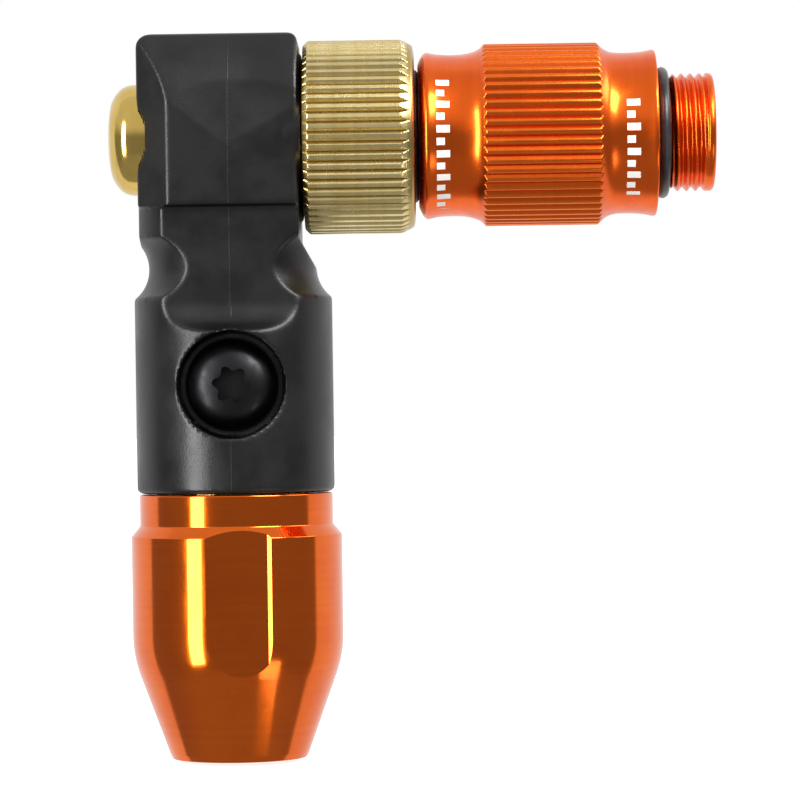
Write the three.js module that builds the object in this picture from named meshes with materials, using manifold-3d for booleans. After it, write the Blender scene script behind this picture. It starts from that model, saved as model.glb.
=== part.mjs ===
// A bicycle tyre inflator head that is driven by a screw-in gas cartridge. Millimetres, +Z up.
// The cup for the cartridge hangs below an elbow-shaped moulding. A push-button valve lies across its
// top, with the button at -X. At +X a knurled collar holds a reversible chuck for two sizes of tyre valve.
// The origin is the middle of the cup's mouth, and +Z runs up the cartridge's axis.
import * as THREE from "three";
import { mergeVertices } from "three/addons/utils/BufferGeometryUtils.js";
import Module from "manifold-3d";

const wasm = await Module();
wasm.setup();

// ---- Driving dimensions ----

const VALVE_Z = 51.5; // height of the valve's axis, which runs along X
const RUNNING_GAP = 0.3; // between pieces that are screwed or pushed together
const ROUND = 36; // facets round a large turned piece
const MIDDLE_ROUND = 24; // facets round a hidden one
const SMALL_ROUND = 16; // facets round a small one
const BAND_OVERLAP = 0.25; // how deep a knurled band sits in the piece that it is joined to

const CUP = {
  height: 22,
  mouthRadius: 5.62,
  coneFoot: 0.5,
  coneFootRadius: 5.84,
  coneTop: 8.52,
  radius: 8.78,
  shoulderFoot: 18.5,
  shoulderTop: 19.4,
  bandRadius: 8.05,
  cartridgeRadius: 4.76,
  cartridgeDepth: 11,
  noseRadius: 6.6,
  flatDistance: 8.3,
  flatTurn: THREE.MathUtils.degToRad(4.5),
};

const BARREL = {
  foot: 22.25,
  radius: 8.22,
  edge: 0.4,
  shoulder: 38.2,
  slopeFoot: 31.4,
  waistZ: 40.7,
  waistRadius: 6.97,
  waistTop: 43.2,
};

const BLOCK = {
  left: -7.6,
  right: 5.7,
  bottom: 45.7,
  top: 60,
  halfDepth: 6.85,
  leftChamfer: 2.57,
  rightChamfer: 0.35,
  topLeftRound: 1.2,
  topRightRound: 0.8,
  roofRadius: 12,
  roofCentreY: 4.93,
  roofCentreZ: 51.9,
  roofFoot: 54.2,
  roofEdge: 0.6,
  shoulderZ: 42.9,
  leftLedgeZ: 42.75,
  leftLedgeFoot: 37.7,
};

const NECK = { floorY: 6.03, rampRadius: 2.5, rampTop: 37.9 };

const SCOOP = {
  footX: -0.3,
  footZ: 50.7,
  height: 3,
  halfAngle: THREE.MathUtils.degToRad(83.9),
  outward: THREE.MathUtils.degToRad(78.4),
  lean: THREE.MathUtils.degToRad(5),
};

const SCREW = {
  z: 31,
  wellRadius: 4.4,
  wellFloorY: -5,
  headRadius: 3.8,
  headHeight: 2.2,
  seatGap: 0.2,
  shankRadius: 1.5,
  shankEndY: -2,
  lobes: 6,
  lobeTip: 1.58,
  lobeRoot: 1.15,
  socketDepth: 1,
};

const STEM = {
  foot: 12.6,
  noseTop: 21.9,
  noseRadius: 6.2,
  hubTop: 25.7,
  hubRadius: 6,
  shankTop: 36,
  shankRadius: 3.8,
  top: 46.7,
  spigotRadius: 3,
  channelRadius: 0.7,
  pinSocketRadius: 1.6,
  pinSocketTop: 16,
};

const TUBE = { left: -3.5, right: 10.2, radius: 4.5, bore: 3 };

const BUTTON = {
  radius: 4.63,
  rim: -8.05,
  dome: [
    [0, -10.2],
    [1.2, -10.17],
    [2.2, -10.07],
    [3.12, -9.89],
    [3.75, -9.56],
    [4.29, -9.06],
    [4.54, -8.56],
  ],
  skirtEnd: -6.7,
  skirtInner: 3.4,
  hubRadius: 1.9,
  pocketRadius: 4.95,
  pocketFloor: -4.1,
};

const PLUNGER = { radius: 1, left: -8.9, right: 5.7 };

const COLLAR = {
  left: 6.1,
  right: 15.3,
  radius: 8.05,
  rootRadius: 7.75,
  knurlStart: 6.3,
  knurlEnd: 13.7,
  teeth: 60,
  tubeBore: 4.8,
  tubeBoreEnd: 10.5,
  threadBore: 5.2,
  ringBore: 5.7,
  ringBoreStart: 14.2,
};

const CHUCK = {
  inner: 10.9,
  leftFace: 15.6,
  rightFace: 35.3,
  outer: 40.1,
  threadRadius: 4.9,
  threadChamfer: 0.5,
  grooveRadius: 4.4,
  flangeRadius: 6.92,
  flangeWidth: 0.8,
  waistRadius: 6.7,
  knurlRadius: 7.6,
  knurlRootRadius: 7.35,
  knurlStart: 21,
  knurlEnd: 30.6,
  teeth: 57,
  coveWidth: 1.6,
  wideBore: 3.85,
  narrowBore: 2.65,
  passageRadius: 1,
  narrowSealPocket: { radius: 3.2, from: 31.5, to: 33.2 },
  wideSealPocket: { radius: 5, from: 17.5, to: 19.1 },
  pinChamber: { radius: 3, to: 22 },
};

// An O-ring is its mean radius, half its section and the place of its middle along its axis.
const RING_SECTION = 0.45;
const RINGS = {
  cup: { mean: 5.9, section: RING_SECTION, at: 20.1 },
  stemLower: { mean: 5.6, section: RING_SECTION, at: 23.9 },
  stemUpper: { mean: 2.68, section: 0.4, at: 43.6 },
  tubeLeft: { mean: 4.25, section: 0.38, at: -1.9 },
  tubeRight: { mean: 4.25, section: 0.38, at: 4.1 },
  plunger: { mean: 1.5, section: 0.38, at: -1.75 },
  chuckInner: { mean: 4.95, section: RING_SECTION, at: 15.1 },
  chuckOuter: { mean: 4.95, section: RING_SECTION, at: 35.95 },
};

// ---- Materials ----

function finish(color, roughness, metalness) {
  return new THREE.MeshStandardMaterial({ color, roughness, metalness });
}

const FINISHES = {
  moulding: finish(0x2b2b2a, 0.55, 0),
  orangeCup: finish(0xd9741c, 0.22, 1),
  orangeChuck: finish(0xd8561a, 0.3, 1),
  brass: finish(0xcdb469, 0.35, 1),
  goldButton: finish(0xc79a3c, 0.18, 1),
  rubber: finish(0x1b1b1c, 0.7, 0),
  steel: finish(0x9a9a9c, 0.35, 1),
  screwBlack: finish(0x1d1d1f, 0.4, 0.6),
  acetal: finish(0xe6e3da, 0.5, 0),
};

// ---- Shape helpers ----

const QUARTER = Math.PI / 2;

// A closed geometry as a solid that faces outwards, whichever way its outline was drawn.
function solid(geometry) {
  const bare = geometry.clone();
  bare.deleteAttribute("normal");
  bare.deleteAttribute("uv");
  const merged = mergeVertices(bare, 1e-4);
  const triVerts = new Uint32Array(merged.index.array);
  const vertProperties = merged.attributes.position.array;
  const made = new wasm.Manifold(new wasm.Mesh({ numProp: 3, vertProperties, triVerts }));
  if (made.volume() > 0) return made;
  return new wasm.Manifold(new wasm.Mesh({ numProp: 3, vertProperties, triVerts: triVerts.reverse() }));
}

function geometryOf(body) {
  const mesh = body.getMesh();
  const made = new THREE.BufferGeometry();
  made.setAttribute("position", new THREE.BufferAttribute(new Float32Array(mesh.vertProperties), 3));
  made.setIndex(new THREE.BufferAttribute(new Uint32Array(mesh.triVerts), 1));
  made.computeVertexNormals();
  return made;
}

// A piece is built round Y. These stand it on Z, or lay it on the valve's axis.
const onCupAxis = (geometry) => geometry.rotateX(QUARTER);
const onValveAxis = (geometry) => geometry.rotateZ(-QUARTER).translate(0, 0, VALVE_Z);

// A turned piece from [radius, height] points. A profile off the axis closes on its first point.
function turned(points, facets = ROUND) {
  const outline = points.map(([radius, height]) => new THREE.Vector2(radius, height));
  const meetsAxis = points[0][0] === 0 && points[points.length - 1][0] === 0;
  if (!meetsAxis) outline.push(outline[0].clone());
  return new THREE.LatheGeometry(outline, facets);
}

// [radius, height] points round a circular arc, from one angle to another in quarter turns.
function arc(radius, height, size, from, to, steps) {
  const points = [];
  for (let i = 0; i <= steps; i += 1) {
    const angle = QUARTER * (from + ((to - from) * i) / steps);
    points.push([radius + size * Math.cos(angle), height + size * Math.sin(angle)]);
  }
  return points;
}

function oRing({ mean, section, at }) {
  return new THREE.TorusGeometry(mean, section, 6, 20).rotateX(QUARTER).translate(0, at, 0);
}

// A round bar along Y, at height z, between two places on Y.
function barAlongY(radius, fromY, toY, z, facets = SMALL_ROUND) {
  return new THREE.CylinderGeometry(radius, radius, toY - fromY, facets).translate(0, (fromY + toY) / 2, z);
}

function prism(outline, depth) {
  const shape = new THREE.Shape(outline.map(([x, y]) => new THREE.Vector2(x, y)));
  return new THREE.ExtrudeGeometry(shape, { depth, bevelEnabled: false });
}

// A prism whose outline is drawn in X and Z and which runs the same way to both sides of Y = 0.
const prismAlongY = (outline, depth) => prism(outline, depth).rotateX(QUARTER).translate(0, depth / 2, 0);

// A prism whose outline is drawn in Y and Z and which runs the same way to both sides of X = 0.
function prismAlongX(outline, depth) {
  return prism(outline, depth).rotateX(QUARTER).rotateZ(QUARTER).translate(-depth / 2, 0, 0);
}

// A band of straight knurling on the valve's axis, as a toothed ring.
function knurlBand({ knurlStart, knurlEnd, teeth }, tip, root) {
  const outline = [];
  for (let i = 0; i < teeth * 2; i += 1) {
    const radius = i % 2 ? root : tip;
    const angle = (Math.PI * i) / teeth;
    outline.push([radius * Math.cos(angle), radius * Math.sin(angle)]);
  }
  const inner = root - 2 * BAND_OVERLAP;
  const hole = new THREE.CylinderGeometry(inner, inner, 4 * knurlEnd, MIDDLE_ROUND);
  const band = prism(outline, knurlEnd - knurlStart).rotateX(-QUARTER).translate(0, knurlStart, 0);
  return solid(onValveAxis(band)).subtract(solid(onValveAxis(hole)));
}

const group = new THREE.Group();

function add(name, geometry, material) {
  const mesh = new THREE.Mesh(geometry, material);
  mesh.name = name;
  group.add(mesh);
}

// ---- The moulding ----

// The round barrel with its rounded foot and its waist.
function barrelSolid() {
  const { foot, radius, edge, shoulder, waistZ, waistRadius, waistTop } = BARREL;
  const depth = radius - waistRadius;
  const half = (waistTop - shoulder) / 2;
  const waistArc = (half * half + depth * depth) / (2 * depth);
  const spread = Math.asin(half / waistArc) / QUARTER;
  const profile = [
    [0, foot],
    ...arc(radius - edge, foot + edge, edge, -1, 0, 3),
    ...arc(waistRadius + waistArc, waistZ, waistArc, -2 + spread, -2 - spread, 10),
    [radius, BLOCK.bottom],
    [0, BLOCK.bottom],
  ];
  return solid(onCupAxis(turned(profile)));
}

// What lies between the block's end planes and behind the slope under the collar.
function barrelLimit() {
  const { left, right, shoulderZ, leftLedgeZ, leftLedgeFoot } = BLOCK;
  const far = 12;
  const outline = [
    [-far, 0],
    [far, 0],
    [far, BARREL.slopeFoot],
    [BARREL.radius + 0.1, BARREL.shoulder],
    [right, shoulderZ],
    [right, BLOCK.top],
    [left, BLOCK.top],
    [left, leftLedgeZ],
    [-far, leftLedgeFoot],
  ];
  return solid(prismAlongY(outline, 2 * far));
}

function blockSolid() {
  const { left, right, bottom, top, halfDepth, leftChamfer, rightChamfer } = BLOCK;
  const { topLeftRound, topRightRound, roofRadius, roofCentreY, roofCentreZ, roofFoot, roofEdge } = BLOCK;
  const plan = [
    [left, -halfDepth + leftChamfer],
    [left + leftChamfer, -halfDepth],
    [right - rightChamfer, -halfDepth],
    [right, -halfDepth + rightChamfer],
    [right, halfDepth - rightChamfer],
    [right - rightChamfer, halfDepth],
    [left + leftChamfer, halfDepth],
    [left, halfDepth - leftChamfer],
  ];
  const front = [
    [left, bottom - 1],
    [right, bottom - 1],
    ...arc(right - topRightRound, top - topRightRound, topRightRound, 0, 1, 3),
    ...arc(left + topLeftRound, top - topLeftRound, topLeftRound, 1, 2, 4),
  ];
  const roof = [];
  const roofSteps = 6;
  for (let i = 0; i <= roofSteps; i += 1) {
    const height = roofFoot + ((top - roofEdge - roofFoot) * i) / roofSteps;
    const rise = height - roofCentreZ;
    roof.push([Math.sqrt(roofRadius * roofRadius - rise * rise) - roofCentreY, height]);
  }
  const eaves = roof[roofSteps][0] - roofEdge * 1.2;
  const side = [[halfDepth, bottom - 1], ...roof, [eaves, top]];
  const farSide = side.map(([y, z]) => [-y, z]).reverse();
  const upright = solid(prism(plan, top - bottom).translate(0, 0, bottom));
  const ends = solid(prismAlongY(front, 4 * halfDepth));
  return upright.intersect(ends).intersect(solid(prismAlongX([...side, ...farSide], 40)));
}

// The hollow in front of the neck: a flat floor that runs out to the barrel in a round ramp.
function neckRecess() {
  const { floorY, rampRadius, rampTop } = NECK;
  const outline = [
    [-floorY, BLOCK.bottom],
    ...arc(-floorY - rampRadius, rampTop, rampRadius, 0, -1, 6),
    [-12, rampTop - rampRadius],
    [-12, BLOCK.bottom],
  ];
  return prismAlongX(outline, 24);
}

// The shallow V-shaped dish in the block's front, cut by a very flat cone that leans outwards.
function scoopCutter() {
  const { footX, footZ, height, halfAngle, outward, lean } = SCOOP;
  const flat = Math.cos(outward);
  const axis = new THREE.Vector3(flat * Math.sin(lean), -Math.sin(outward), flat * Math.cos(lean));
  const turn = new THREE.Quaternion().setFromUnitVectors(new THREE.Vector3(0, 1, 0), axis.negate());
  const cone = new THREE.ConeGeometry(height * Math.tan(halfAngle), height, 72);
  return cone.translate(0, -height / 2, 0).applyQuaternion(turn).translate(footX, -BLOCK.halfDepth, footZ);
}

const acrossY = (geometry) => geometry.clone().scale(1, -1, 1);

function mouldingBores() {
  const tubeBore = TUBE.radius + RUNNING_GAP;
  const across = turned(
    [
      [0, BLOCK.left - 3],
      [BUTTON.pocketRadius, BLOCK.left - 3],
      [BUTTON.pocketRadius, BUTTON.pocketFloor],
      [tubeBore, BUTTON.pocketFloor],
      [tubeBore, BLOCK.right + 1],
      [0, BLOCK.right + 1],
    ],
    ROUND,
  );
  const upright = turned(
    [
      [0, BARREL.foot - 1],
      [STEM.hubRadius + RUNNING_GAP, BARREL.foot - 1],
      [STEM.hubRadius + RUNNING_GAP, STEM.hubTop + RUNNING_GAP],
      [STEM.shankRadius + RUNNING_GAP, STEM.hubTop + RUNNING_GAP],
      [STEM.shankRadius + RUNNING_GAP, STEM.shankTop + RUNNING_GAP],
      [STEM.spigotRadius + RUNNING_GAP, STEM.shankTop + RUNNING_GAP],
      [STEM.spigotRadius + RUNNING_GAP, VALVE_Z],
      [0, VALVE_Z],
    ],
    ROUND,
  );
  const well = barAlongY(SCREW.wellRadius, -12, SCREW.wellFloorY, SCREW.z, ROUND);
  const screwHole = barAlongY(SCREW.shankRadius + RUNNING_GAP, -12, -3, SCREW.z);
  const holes = [onValveAxis(across), onCupAxis(upright), well, screwHole];
  return holes.map(solid).reduce((all, hole) => all.add(hole));
}

function mouldingSolid() {
  const outside = barrelSolid().intersect(barrelLimit()).add(blockSolid());
  const cuts = [neckRecess(), acrossY(neckRecess()), scoopCutter(), acrossY(scoopCutter())];
  return cuts.map(solid).reduce((body, cut) => body.subtract(cut), outside.subtract(mouldingBores()));
}

add("body_moulding", geometryOf(mouldingSolid()), FINISHES.moulding);

// ---- The cartridge cup and the stem that carries it ----

function cupSolid() {
  const cup = CUP;
  const profile = [
    [cup.cartridgeRadius + 0.4, 0],
    [cup.mouthRadius, 0],
    [cup.coneFootRadius, cup.coneFoot],
    [cup.radius - 0.6, cup.coneTop - 1.65],
    [cup.radius - 0.15, cup.coneTop],
    [cup.radius, cup.coneTop + 1.75],
    [cup.radius, cup.shoulderFoot],
    [cup.bandRadius, cup.shoulderTop],
    [cup.bandRadius, cup.height - 0.15],
    [cup.bandRadius - 0.15, cup.height],
    [cup.noseRadius, cup.height],
    [cup.noseRadius, cup.cartridgeDepth],
    [cup.cartridgeRadius, cup.cartridgeDepth],
    [cup.cartridgeRadius, 0.5],
  ];
  const flatWidth = 20;
  const flat = new THREE.BoxGeometry(flatWidth, flatWidth, 2 * cup.height);
  const front = flat.clone().translate(0, -cup.flatDistance - flatWidth / 2, 0).rotateZ(cup.flatTurn);
  const back = flat.clone().translate(0, cup.flatDistance + flatWidth / 2, 0).rotateZ(cup.flatTurn);
  return solid(onCupAxis(turned(profile, 40))).subtract(solid(front)).subtract(solid(back));
}

add("cartridge_cup", geometryOf(cupSolid()), FINISHES.orangeCup);

// A square groove for an O-ring, as profile points from bottom to top.
function groove(outer, { mean, section, at }) {
  const bottom = mean - section - 0.1;
  const half = section + 0.1;
  return [
    [outer, at - half],
    [bottom, at - half],
    [bottom, at + half],
    [outer, at + half],
  ];
}

function stemSolid() {
  const stem = STEM;
  const profile = [
    [stem.pinSocketRadius, stem.foot],
    [stem.noseRadius, stem.foot],
    ...groove(stem.noseRadius, RINGS.cup),
    [stem.noseRadius, stem.noseTop],
    [stem.hubRadius, stem.noseTop],
    ...groove(stem.hubRadius, RINGS.stemLower),
    [stem.hubRadius, stem.hubTop],
    [stem.shankRadius, stem.hubTop],
    [stem.shankRadius, stem.shankTop],
    [stem.spigotRadius, stem.shankTop],
    ...groove(stem.spigotRadius, RINGS.stemUpper),
    [stem.spigotRadius, stem.top],
    [stem.channelRadius, stem.top],
    [stem.channelRadius, stem.pinSocketTop],
    [stem.pinSocketRadius, stem.pinSocketTop],
  ];
  const screwHole = barAlongY(SCREW.shankRadius + RUNNING_GAP, -12, SCREW.shankEndY + RUNNING_GAP, SCREW.z);
  return solid(onCupAxis(turned(profile, MIDDLE_ROUND))).subtract(solid(screwHole));
}

add("core_stem", geometryOf(stemSolid()), FINISHES.brass);
add("cup_oring", onCupAxis(oRing(RINGS.cup)), FINISHES.rubber);
add("stem_oring_lower", onCupAxis(oRing(RINGS.stemLower)), FINISHES.rubber);
add("stem_oring_upper", onCupAxis(oRing(RINGS.stemUpper)), FINISHES.rubber);

const piercePin = [
  [0.4, 15.7],
  [0.4, 9.6],
  [0.65, 9.4],
  [1.15, 11.5],
  [1.3, 12.4],
  [1.3, 15.7],
];
add("pierce_pin", geometryOf(solid(onCupAxis(turned(piercePin, SMALL_ROUND)))), FINISHES.steel);

const pierceSeal = [
  [1.6, 11.3],
  [4.3, 11.3],
  [4.3, 12.3],
  [1.6, 12.3],
];
add("pierce_seal", geometryOf(solid(onCupAxis(turned(pierceSeal, SMALL_ROUND)))), FINISHES.rubber);

// ---- The screw in the front of the barrel ----

function screwSolid() {
  const screw = SCREW;
  const seat = screw.wellFloorY - screw.seatGap;
  const crown = seat - screw.headHeight;
  const profile = [
    [0, crown],
    [screw.headRadius * 0.35, crown + 0.07],
    [screw.headRadius * 0.65, crown + 0.36],
    [screw.headRadius * 0.87, crown + 0.98],
    [screw.headRadius, crown + 1.8],
    [screw.headRadius, seat],
    [screw.shankRadius, seat],
    [screw.shankRadius, screw.shankEndY],
    [0, screw.shankEndY],
  ];
  const star = [];
  const steps = screw.lobes * 4;
  for (let i = 0; i < steps; i += 1) {
    const angle = (2 * Math.PI * i) / steps + QUARTER / 2;
    const middle = (screw.lobeTip + screw.lobeRoot) / 2;
    const swing = (screw.lobeTip - screw.lobeRoot) / 2;
    const radius = middle + swing * Math.cos(screw.lobes * (angle - QUARTER / 2));
    star.push([radius * Math.cos(angle), radius * Math.sin(angle)]);
  }
  const socket = prismAlongY(star, 2 * screw.socketDepth).translate(0, crown, 0);
  return solid(turned(profile, MIDDLE_ROUND)).subtract(solid(socket));
}

add("body_screw", geometryOf(screwSolid()).translate(0, 0, SCREW.z), FINISHES.screwBlack);

// ---- The valve across the top ----

function valveTubeSolid() {
  const profile = [
    [TUBE.bore, TUBE.left],
    [TUBE.radius, TUBE.left],
    ...groove(TUBE.radius, RINGS.tubeLeft),
    ...groove(TUBE.radius, RINGS.tubeRight),
    [TUBE.radius, TUBE.right],
    [TUBE.bore, TUBE.right],
  ];
  const gasPort = new THREE.CylinderGeometry(0.9, 0.9, 5, SMALL_ROUND).rotateX(QUARTER);
  const port = gasPort.translate(0, 0, VALVE_Z - TUBE.radius);
  return solid(onValveAxis(turned(profile, MIDDLE_ROUND))).subtract(solid(port));
}

add("valve_barrel", geometryOf(valveTubeSolid()), FINISHES.brass);
add("barrel_oring_left", onValveAxis(oRing(RINGS.tubeLeft)), FINISHES.rubber);
add("barrel_oring_right", onValveAxis(oRing(RINGS.tubeRight)), FINISHES.rubber);
add("plunger_oring", onValveAxis(oRing(RINGS.plunger)), FINISHES.rubber);

// Pieces turned on the valve's axis that need no more than a profile of [radius, x] points.
const turnedOnValve = {
  button_bush: {
    material: FINISHES.brass,
    profile: [
      [1.1, -4.3],
      [4.4, -4.3],
      [4.4, -3.8],
      [2.7, -3.8],
      [2.7, -1.2],
      [2, -1.2],
      [2, -2.3],
      [1.1, -2.3],
    ],
  },
  valve_seat: {
    material: FINISHES.acetal,
    profile: [
      [1.6, 1.8],
      [2.7, 1.8],
      [2.7, 3],
      [2.1, 3],
      [2.1, 3.3],
      [1.6, 3.3],
    ],
  },
  spring_retainer: {
    material: FINISHES.brass,
    profile: [
      [1.2, 9.3],
      [2.7, 9.3],
      [2.7, 10.1],
      [1.2, 10.1],
    ],
  },
  poppet_seal: {
    material: FINISHES.rubber,
    profile: [
      [1.1, 3.45],
      [2.3, 3.45],
      [2.3, 3.9],
      [1.1, 3.9],
    ],
  },
  poppet: {
    material: FINISHES.brass,
    profile: [
      [1.1, 4],
      [2.4, 4],
      [2.4, 4.5],
      [1.6, 4.5],
      [1.6, 5],
      [1.1, 5],
    ],
  },
  poppet_circlip: {
    material: FINISHES.steel,
    profile: [
      [1.1, 5.1],
      [1.6, 5.1],
      [1.6, 5.45],
      [1.1, 5.45],
    ],
  },
  plunger_stem: {
    material: FINISHES.steel,
    profile: [
      [0, PLUNGER.left],
      [PLUNGER.radius, PLUNGER.left],
      [PLUNGER.radius, PLUNGER.right - 0.3],
      [PLUNGER.radius - 0.3, PLUNGER.right],
      [0, PLUNGER.right],
    ],
  },
  narrow_valve_seal: {
    material: FINISHES.rubber,
    profile: [
      [1.2, 31.8],
      [2.9, 31.8],
      [2.9, 33],
      [1.2, 33],
    ],
  },
  wide_valve_seal: {
    material: FINISHES.rubber,
    profile: [
      [2, 17.7],
      [4.7, 17.7],
      [4.7, 18.9],
      [2, 18.9],
    ],
  },
};
for (const [name, { material, profile }] of Object.entries(turnedOnValve)) {
  add(name, geometryOf(solid(onValveAxis(turned(profile, SMALL_ROUND)))), material);
}

// The mushroom button: a flat dome over a skirt that slides in the pocket, with a hub for the plunger.
function buttonSolid() {
  const { radius, dome, rim, skirtEnd, skirtInner, hubRadius } = BUTTON;
  const socket = PLUNGER.radius + 0.1;
  const profile = [
    ...dome,
    [radius, rim],
    [radius, skirtEnd],
    [skirtInner, skirtEnd],
    [skirtInner, rim],
    [hubRadius, rim],
    [hubRadius, skirtEnd - 0.2],
    [socket, skirtEnd - 0.2],
    [socket, PLUNGER.left - 0.15],
    [0, PLUNGER.left - 0.15],
  ];
  return solid(onValveAxis(turned(profile, MIDDLE_ROUND)));
}

add("thumb_button", geometryOf(buttonSolid()), FINISHES.goldButton);

// The compression spring behind the poppet.
class Coil extends THREE.Curve {
  getPoint(t, target = new THREE.Vector3()) {
    const coil = { radius: 2.1, start: 5.35, end: 8.95, turns: 4 };
    const angle = 2 * Math.PI * coil.turns * t;
    const along = coil.start + (coil.end - coil.start) * t;
    return target.set(along, coil.radius * Math.cos(angle), VALVE_Z + coil.radius * Math.sin(angle));
  }
}

function springSolid() {
  const wire = 0.2;
  const section = new THREE.Shape();
  section.absarc(0, 0, wire, 0, 2 * Math.PI);
  const made = new THREE.ExtrudeGeometry(section, { extrudePath: new Coil(), steps: 60, curveSegments: 3 });
  return solid(made);
}

add("return_spring", geometryOf(springSolid()), FINISHES.steel);

// ---- The knurled collar ----

function collarSolid() {
  const collar = COLLAR;
  const profile = [
    [collar.tubeBore, collar.left],
    [collar.rootRadius - 0.4, collar.left],
    [collar.rootRadius - 0.1, collar.knurlStart],
    [collar.rootRadius - BAND_OVERLAP, collar.knurlStart + 0.1],
    [collar.rootRadius - BAND_OVERLAP, collar.knurlEnd - 0.1],
    [collar.radius - 0.1, collar.knurlEnd + 0.1],
    [collar.radius - 0.2, collar.knurlEnd + 0.6],
    [collar.radius - 0.45, collar.right - 0.45],
    [collar.radius - 0.8, collar.right - 0.08],
    [collar.radius - 1.1, collar.right],
    [collar.ringBore, collar.right],
    [collar.ringBore, collar.ringBoreStart],
    [collar.threadBore, collar.ringBoreStart],
    [collar.threadBore, collar.tubeBoreEnd],
    [collar.tubeBore, collar.tubeBoreEnd],
  ];
  return solid(onValveAxis(turned(profile))).add(knurlBand(collar, collar.radius, collar.rootRadius));
}

add("knurled_collar", geometryOf(collarSolid()), FINISHES.brass);

// ---- The reversible chuck and its seals ----

function chuckSolid() {
  const chuck = CHUCK;
  const cove = chuck.coveWidth;
  const leftCove = chuck.knurlStart;
  const rightCove = chuck.knurlEnd;
  const narrow = chuck.narrowSealPocket;
  const wide = chuck.wideSealPocket;
  const chamber = chuck.pinChamber;
  const profile = [
    [chuck.wideBore, chuck.inner],
    [chuck.threadRadius - chuck.threadChamfer, chuck.inner],
    [chuck.threadRadius, chuck.inner + chuck.threadChamfer],
    ...groove(chuck.threadRadius, RINGS.chuckInner).slice(0, 2),
    [chuck.grooveRadius, chuck.leftFace],
    [chuck.flangeRadius - 0.1, chuck.leftFace],
    [chuck.flangeRadius, chuck.leftFace + 0.1],
    [chuck.flangeRadius, chuck.leftFace + chuck.flangeWidth],
    [chuck.waistRadius, chuck.leftFace + chuck.flangeWidth + 0.3],
    [chuck.waistRadius, leftCove - cove],
    [chuck.waistRadius + 0.2, leftCove - cove / 2],
    [chuck.knurlRootRadius - 0.1, leftCove],
    [chuck.knurlRootRadius - BAND_OVERLAP, leftCove + 0.1],
    [chuck.knurlRootRadius - BAND_OVERLAP, rightCove - 0.1],
    [chuck.knurlRootRadius - 0.1, rightCove],
    [chuck.waistRadius + 0.2, rightCove + cove / 2],
    [chuck.waistRadius, rightCove + cove],
    [chuck.waistRadius, chuck.rightFace - chuck.flangeWidth - 0.3],
    [chuck.flangeRadius, chuck.rightFace - chuck.flangeWidth],
    [chuck.flangeRadius, chuck.rightFace - 0.1],
    [chuck.flangeRadius - 0.1, chuck.rightFace],
    [chuck.grooveRadius, chuck.rightFace],
    [chuck.grooveRadius, RINGS.chuckOuter.at + 0.55],
    [chuck.threadRadius, RINGS.chuckOuter.at + 0.55],
    [chuck.threadRadius, chuck.outer - chuck.threadChamfer],
    [chuck.threadRadius - chuck.threadChamfer, chuck.outer],
    [chuck.narrowBore, chuck.outer],
    [chuck.narrowBore, narrow.to],
    [narrow.radius, narrow.to],
    [narrow.radius, narrow.from],
    [chuck.passageRadius, narrow.from],
    [chuck.passageRadius, chamber.to],
    [chamber.radius, chamber.to],
    [chamber.radius, wide.to],
    [wide.radius, wide.to],
    [wide.radius, wide.from],
    [chuck.wideBore, wide.from],
  ];
  const band = knurlBand(chuck, chuck.knurlRadius, chuck.knurlRootRadius);
  return solid(onValveAxis(turned(profile))).add(band);
}

add("twin_chuck", geometryOf(chuckSolid()), FINISHES.orangeChuck);
add("chuck_inner_oring", onValveAxis(oRing(RINGS.chuckInner)), FINISHES.rubber);
add("chuck_outer_oring", onValveAxis(oRing(RINGS.chuckOuter)), FINISHES.rubber);

// The pin that opens a wide valve's core, on a notched disc that lets the gas past.
function depressorSolid() {
  const profile = [
    [0, 16.8],
    [0.7, 16.8],
    [0.9, 17],
    [0.9, 20],
    [2.7, 20],
    [2.7, 21],
    [0, 21],
  ];
  const disc = solid(onValveAxis(turned(profile, SMALL_ROUND)));
  const notches = [0, 1, 2].map((i) => {
    const notch = new THREE.CylinderGeometry(0.7, 0.7, 8, 12).translate(2.7, 20.5, 0);
    return solid(onValveAxis(notch.rotateY((2 * Math.PI * i) / 3)));
  });
  return notches.reduce((body, notch) => body.subtract(notch), disc);
}

add("valve_core_depressor", geometryOf(depressorSolid()), FINISHES.brass);

export default group;
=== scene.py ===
import math

import bpy
from mathutils import Matrix, Vector


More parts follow.
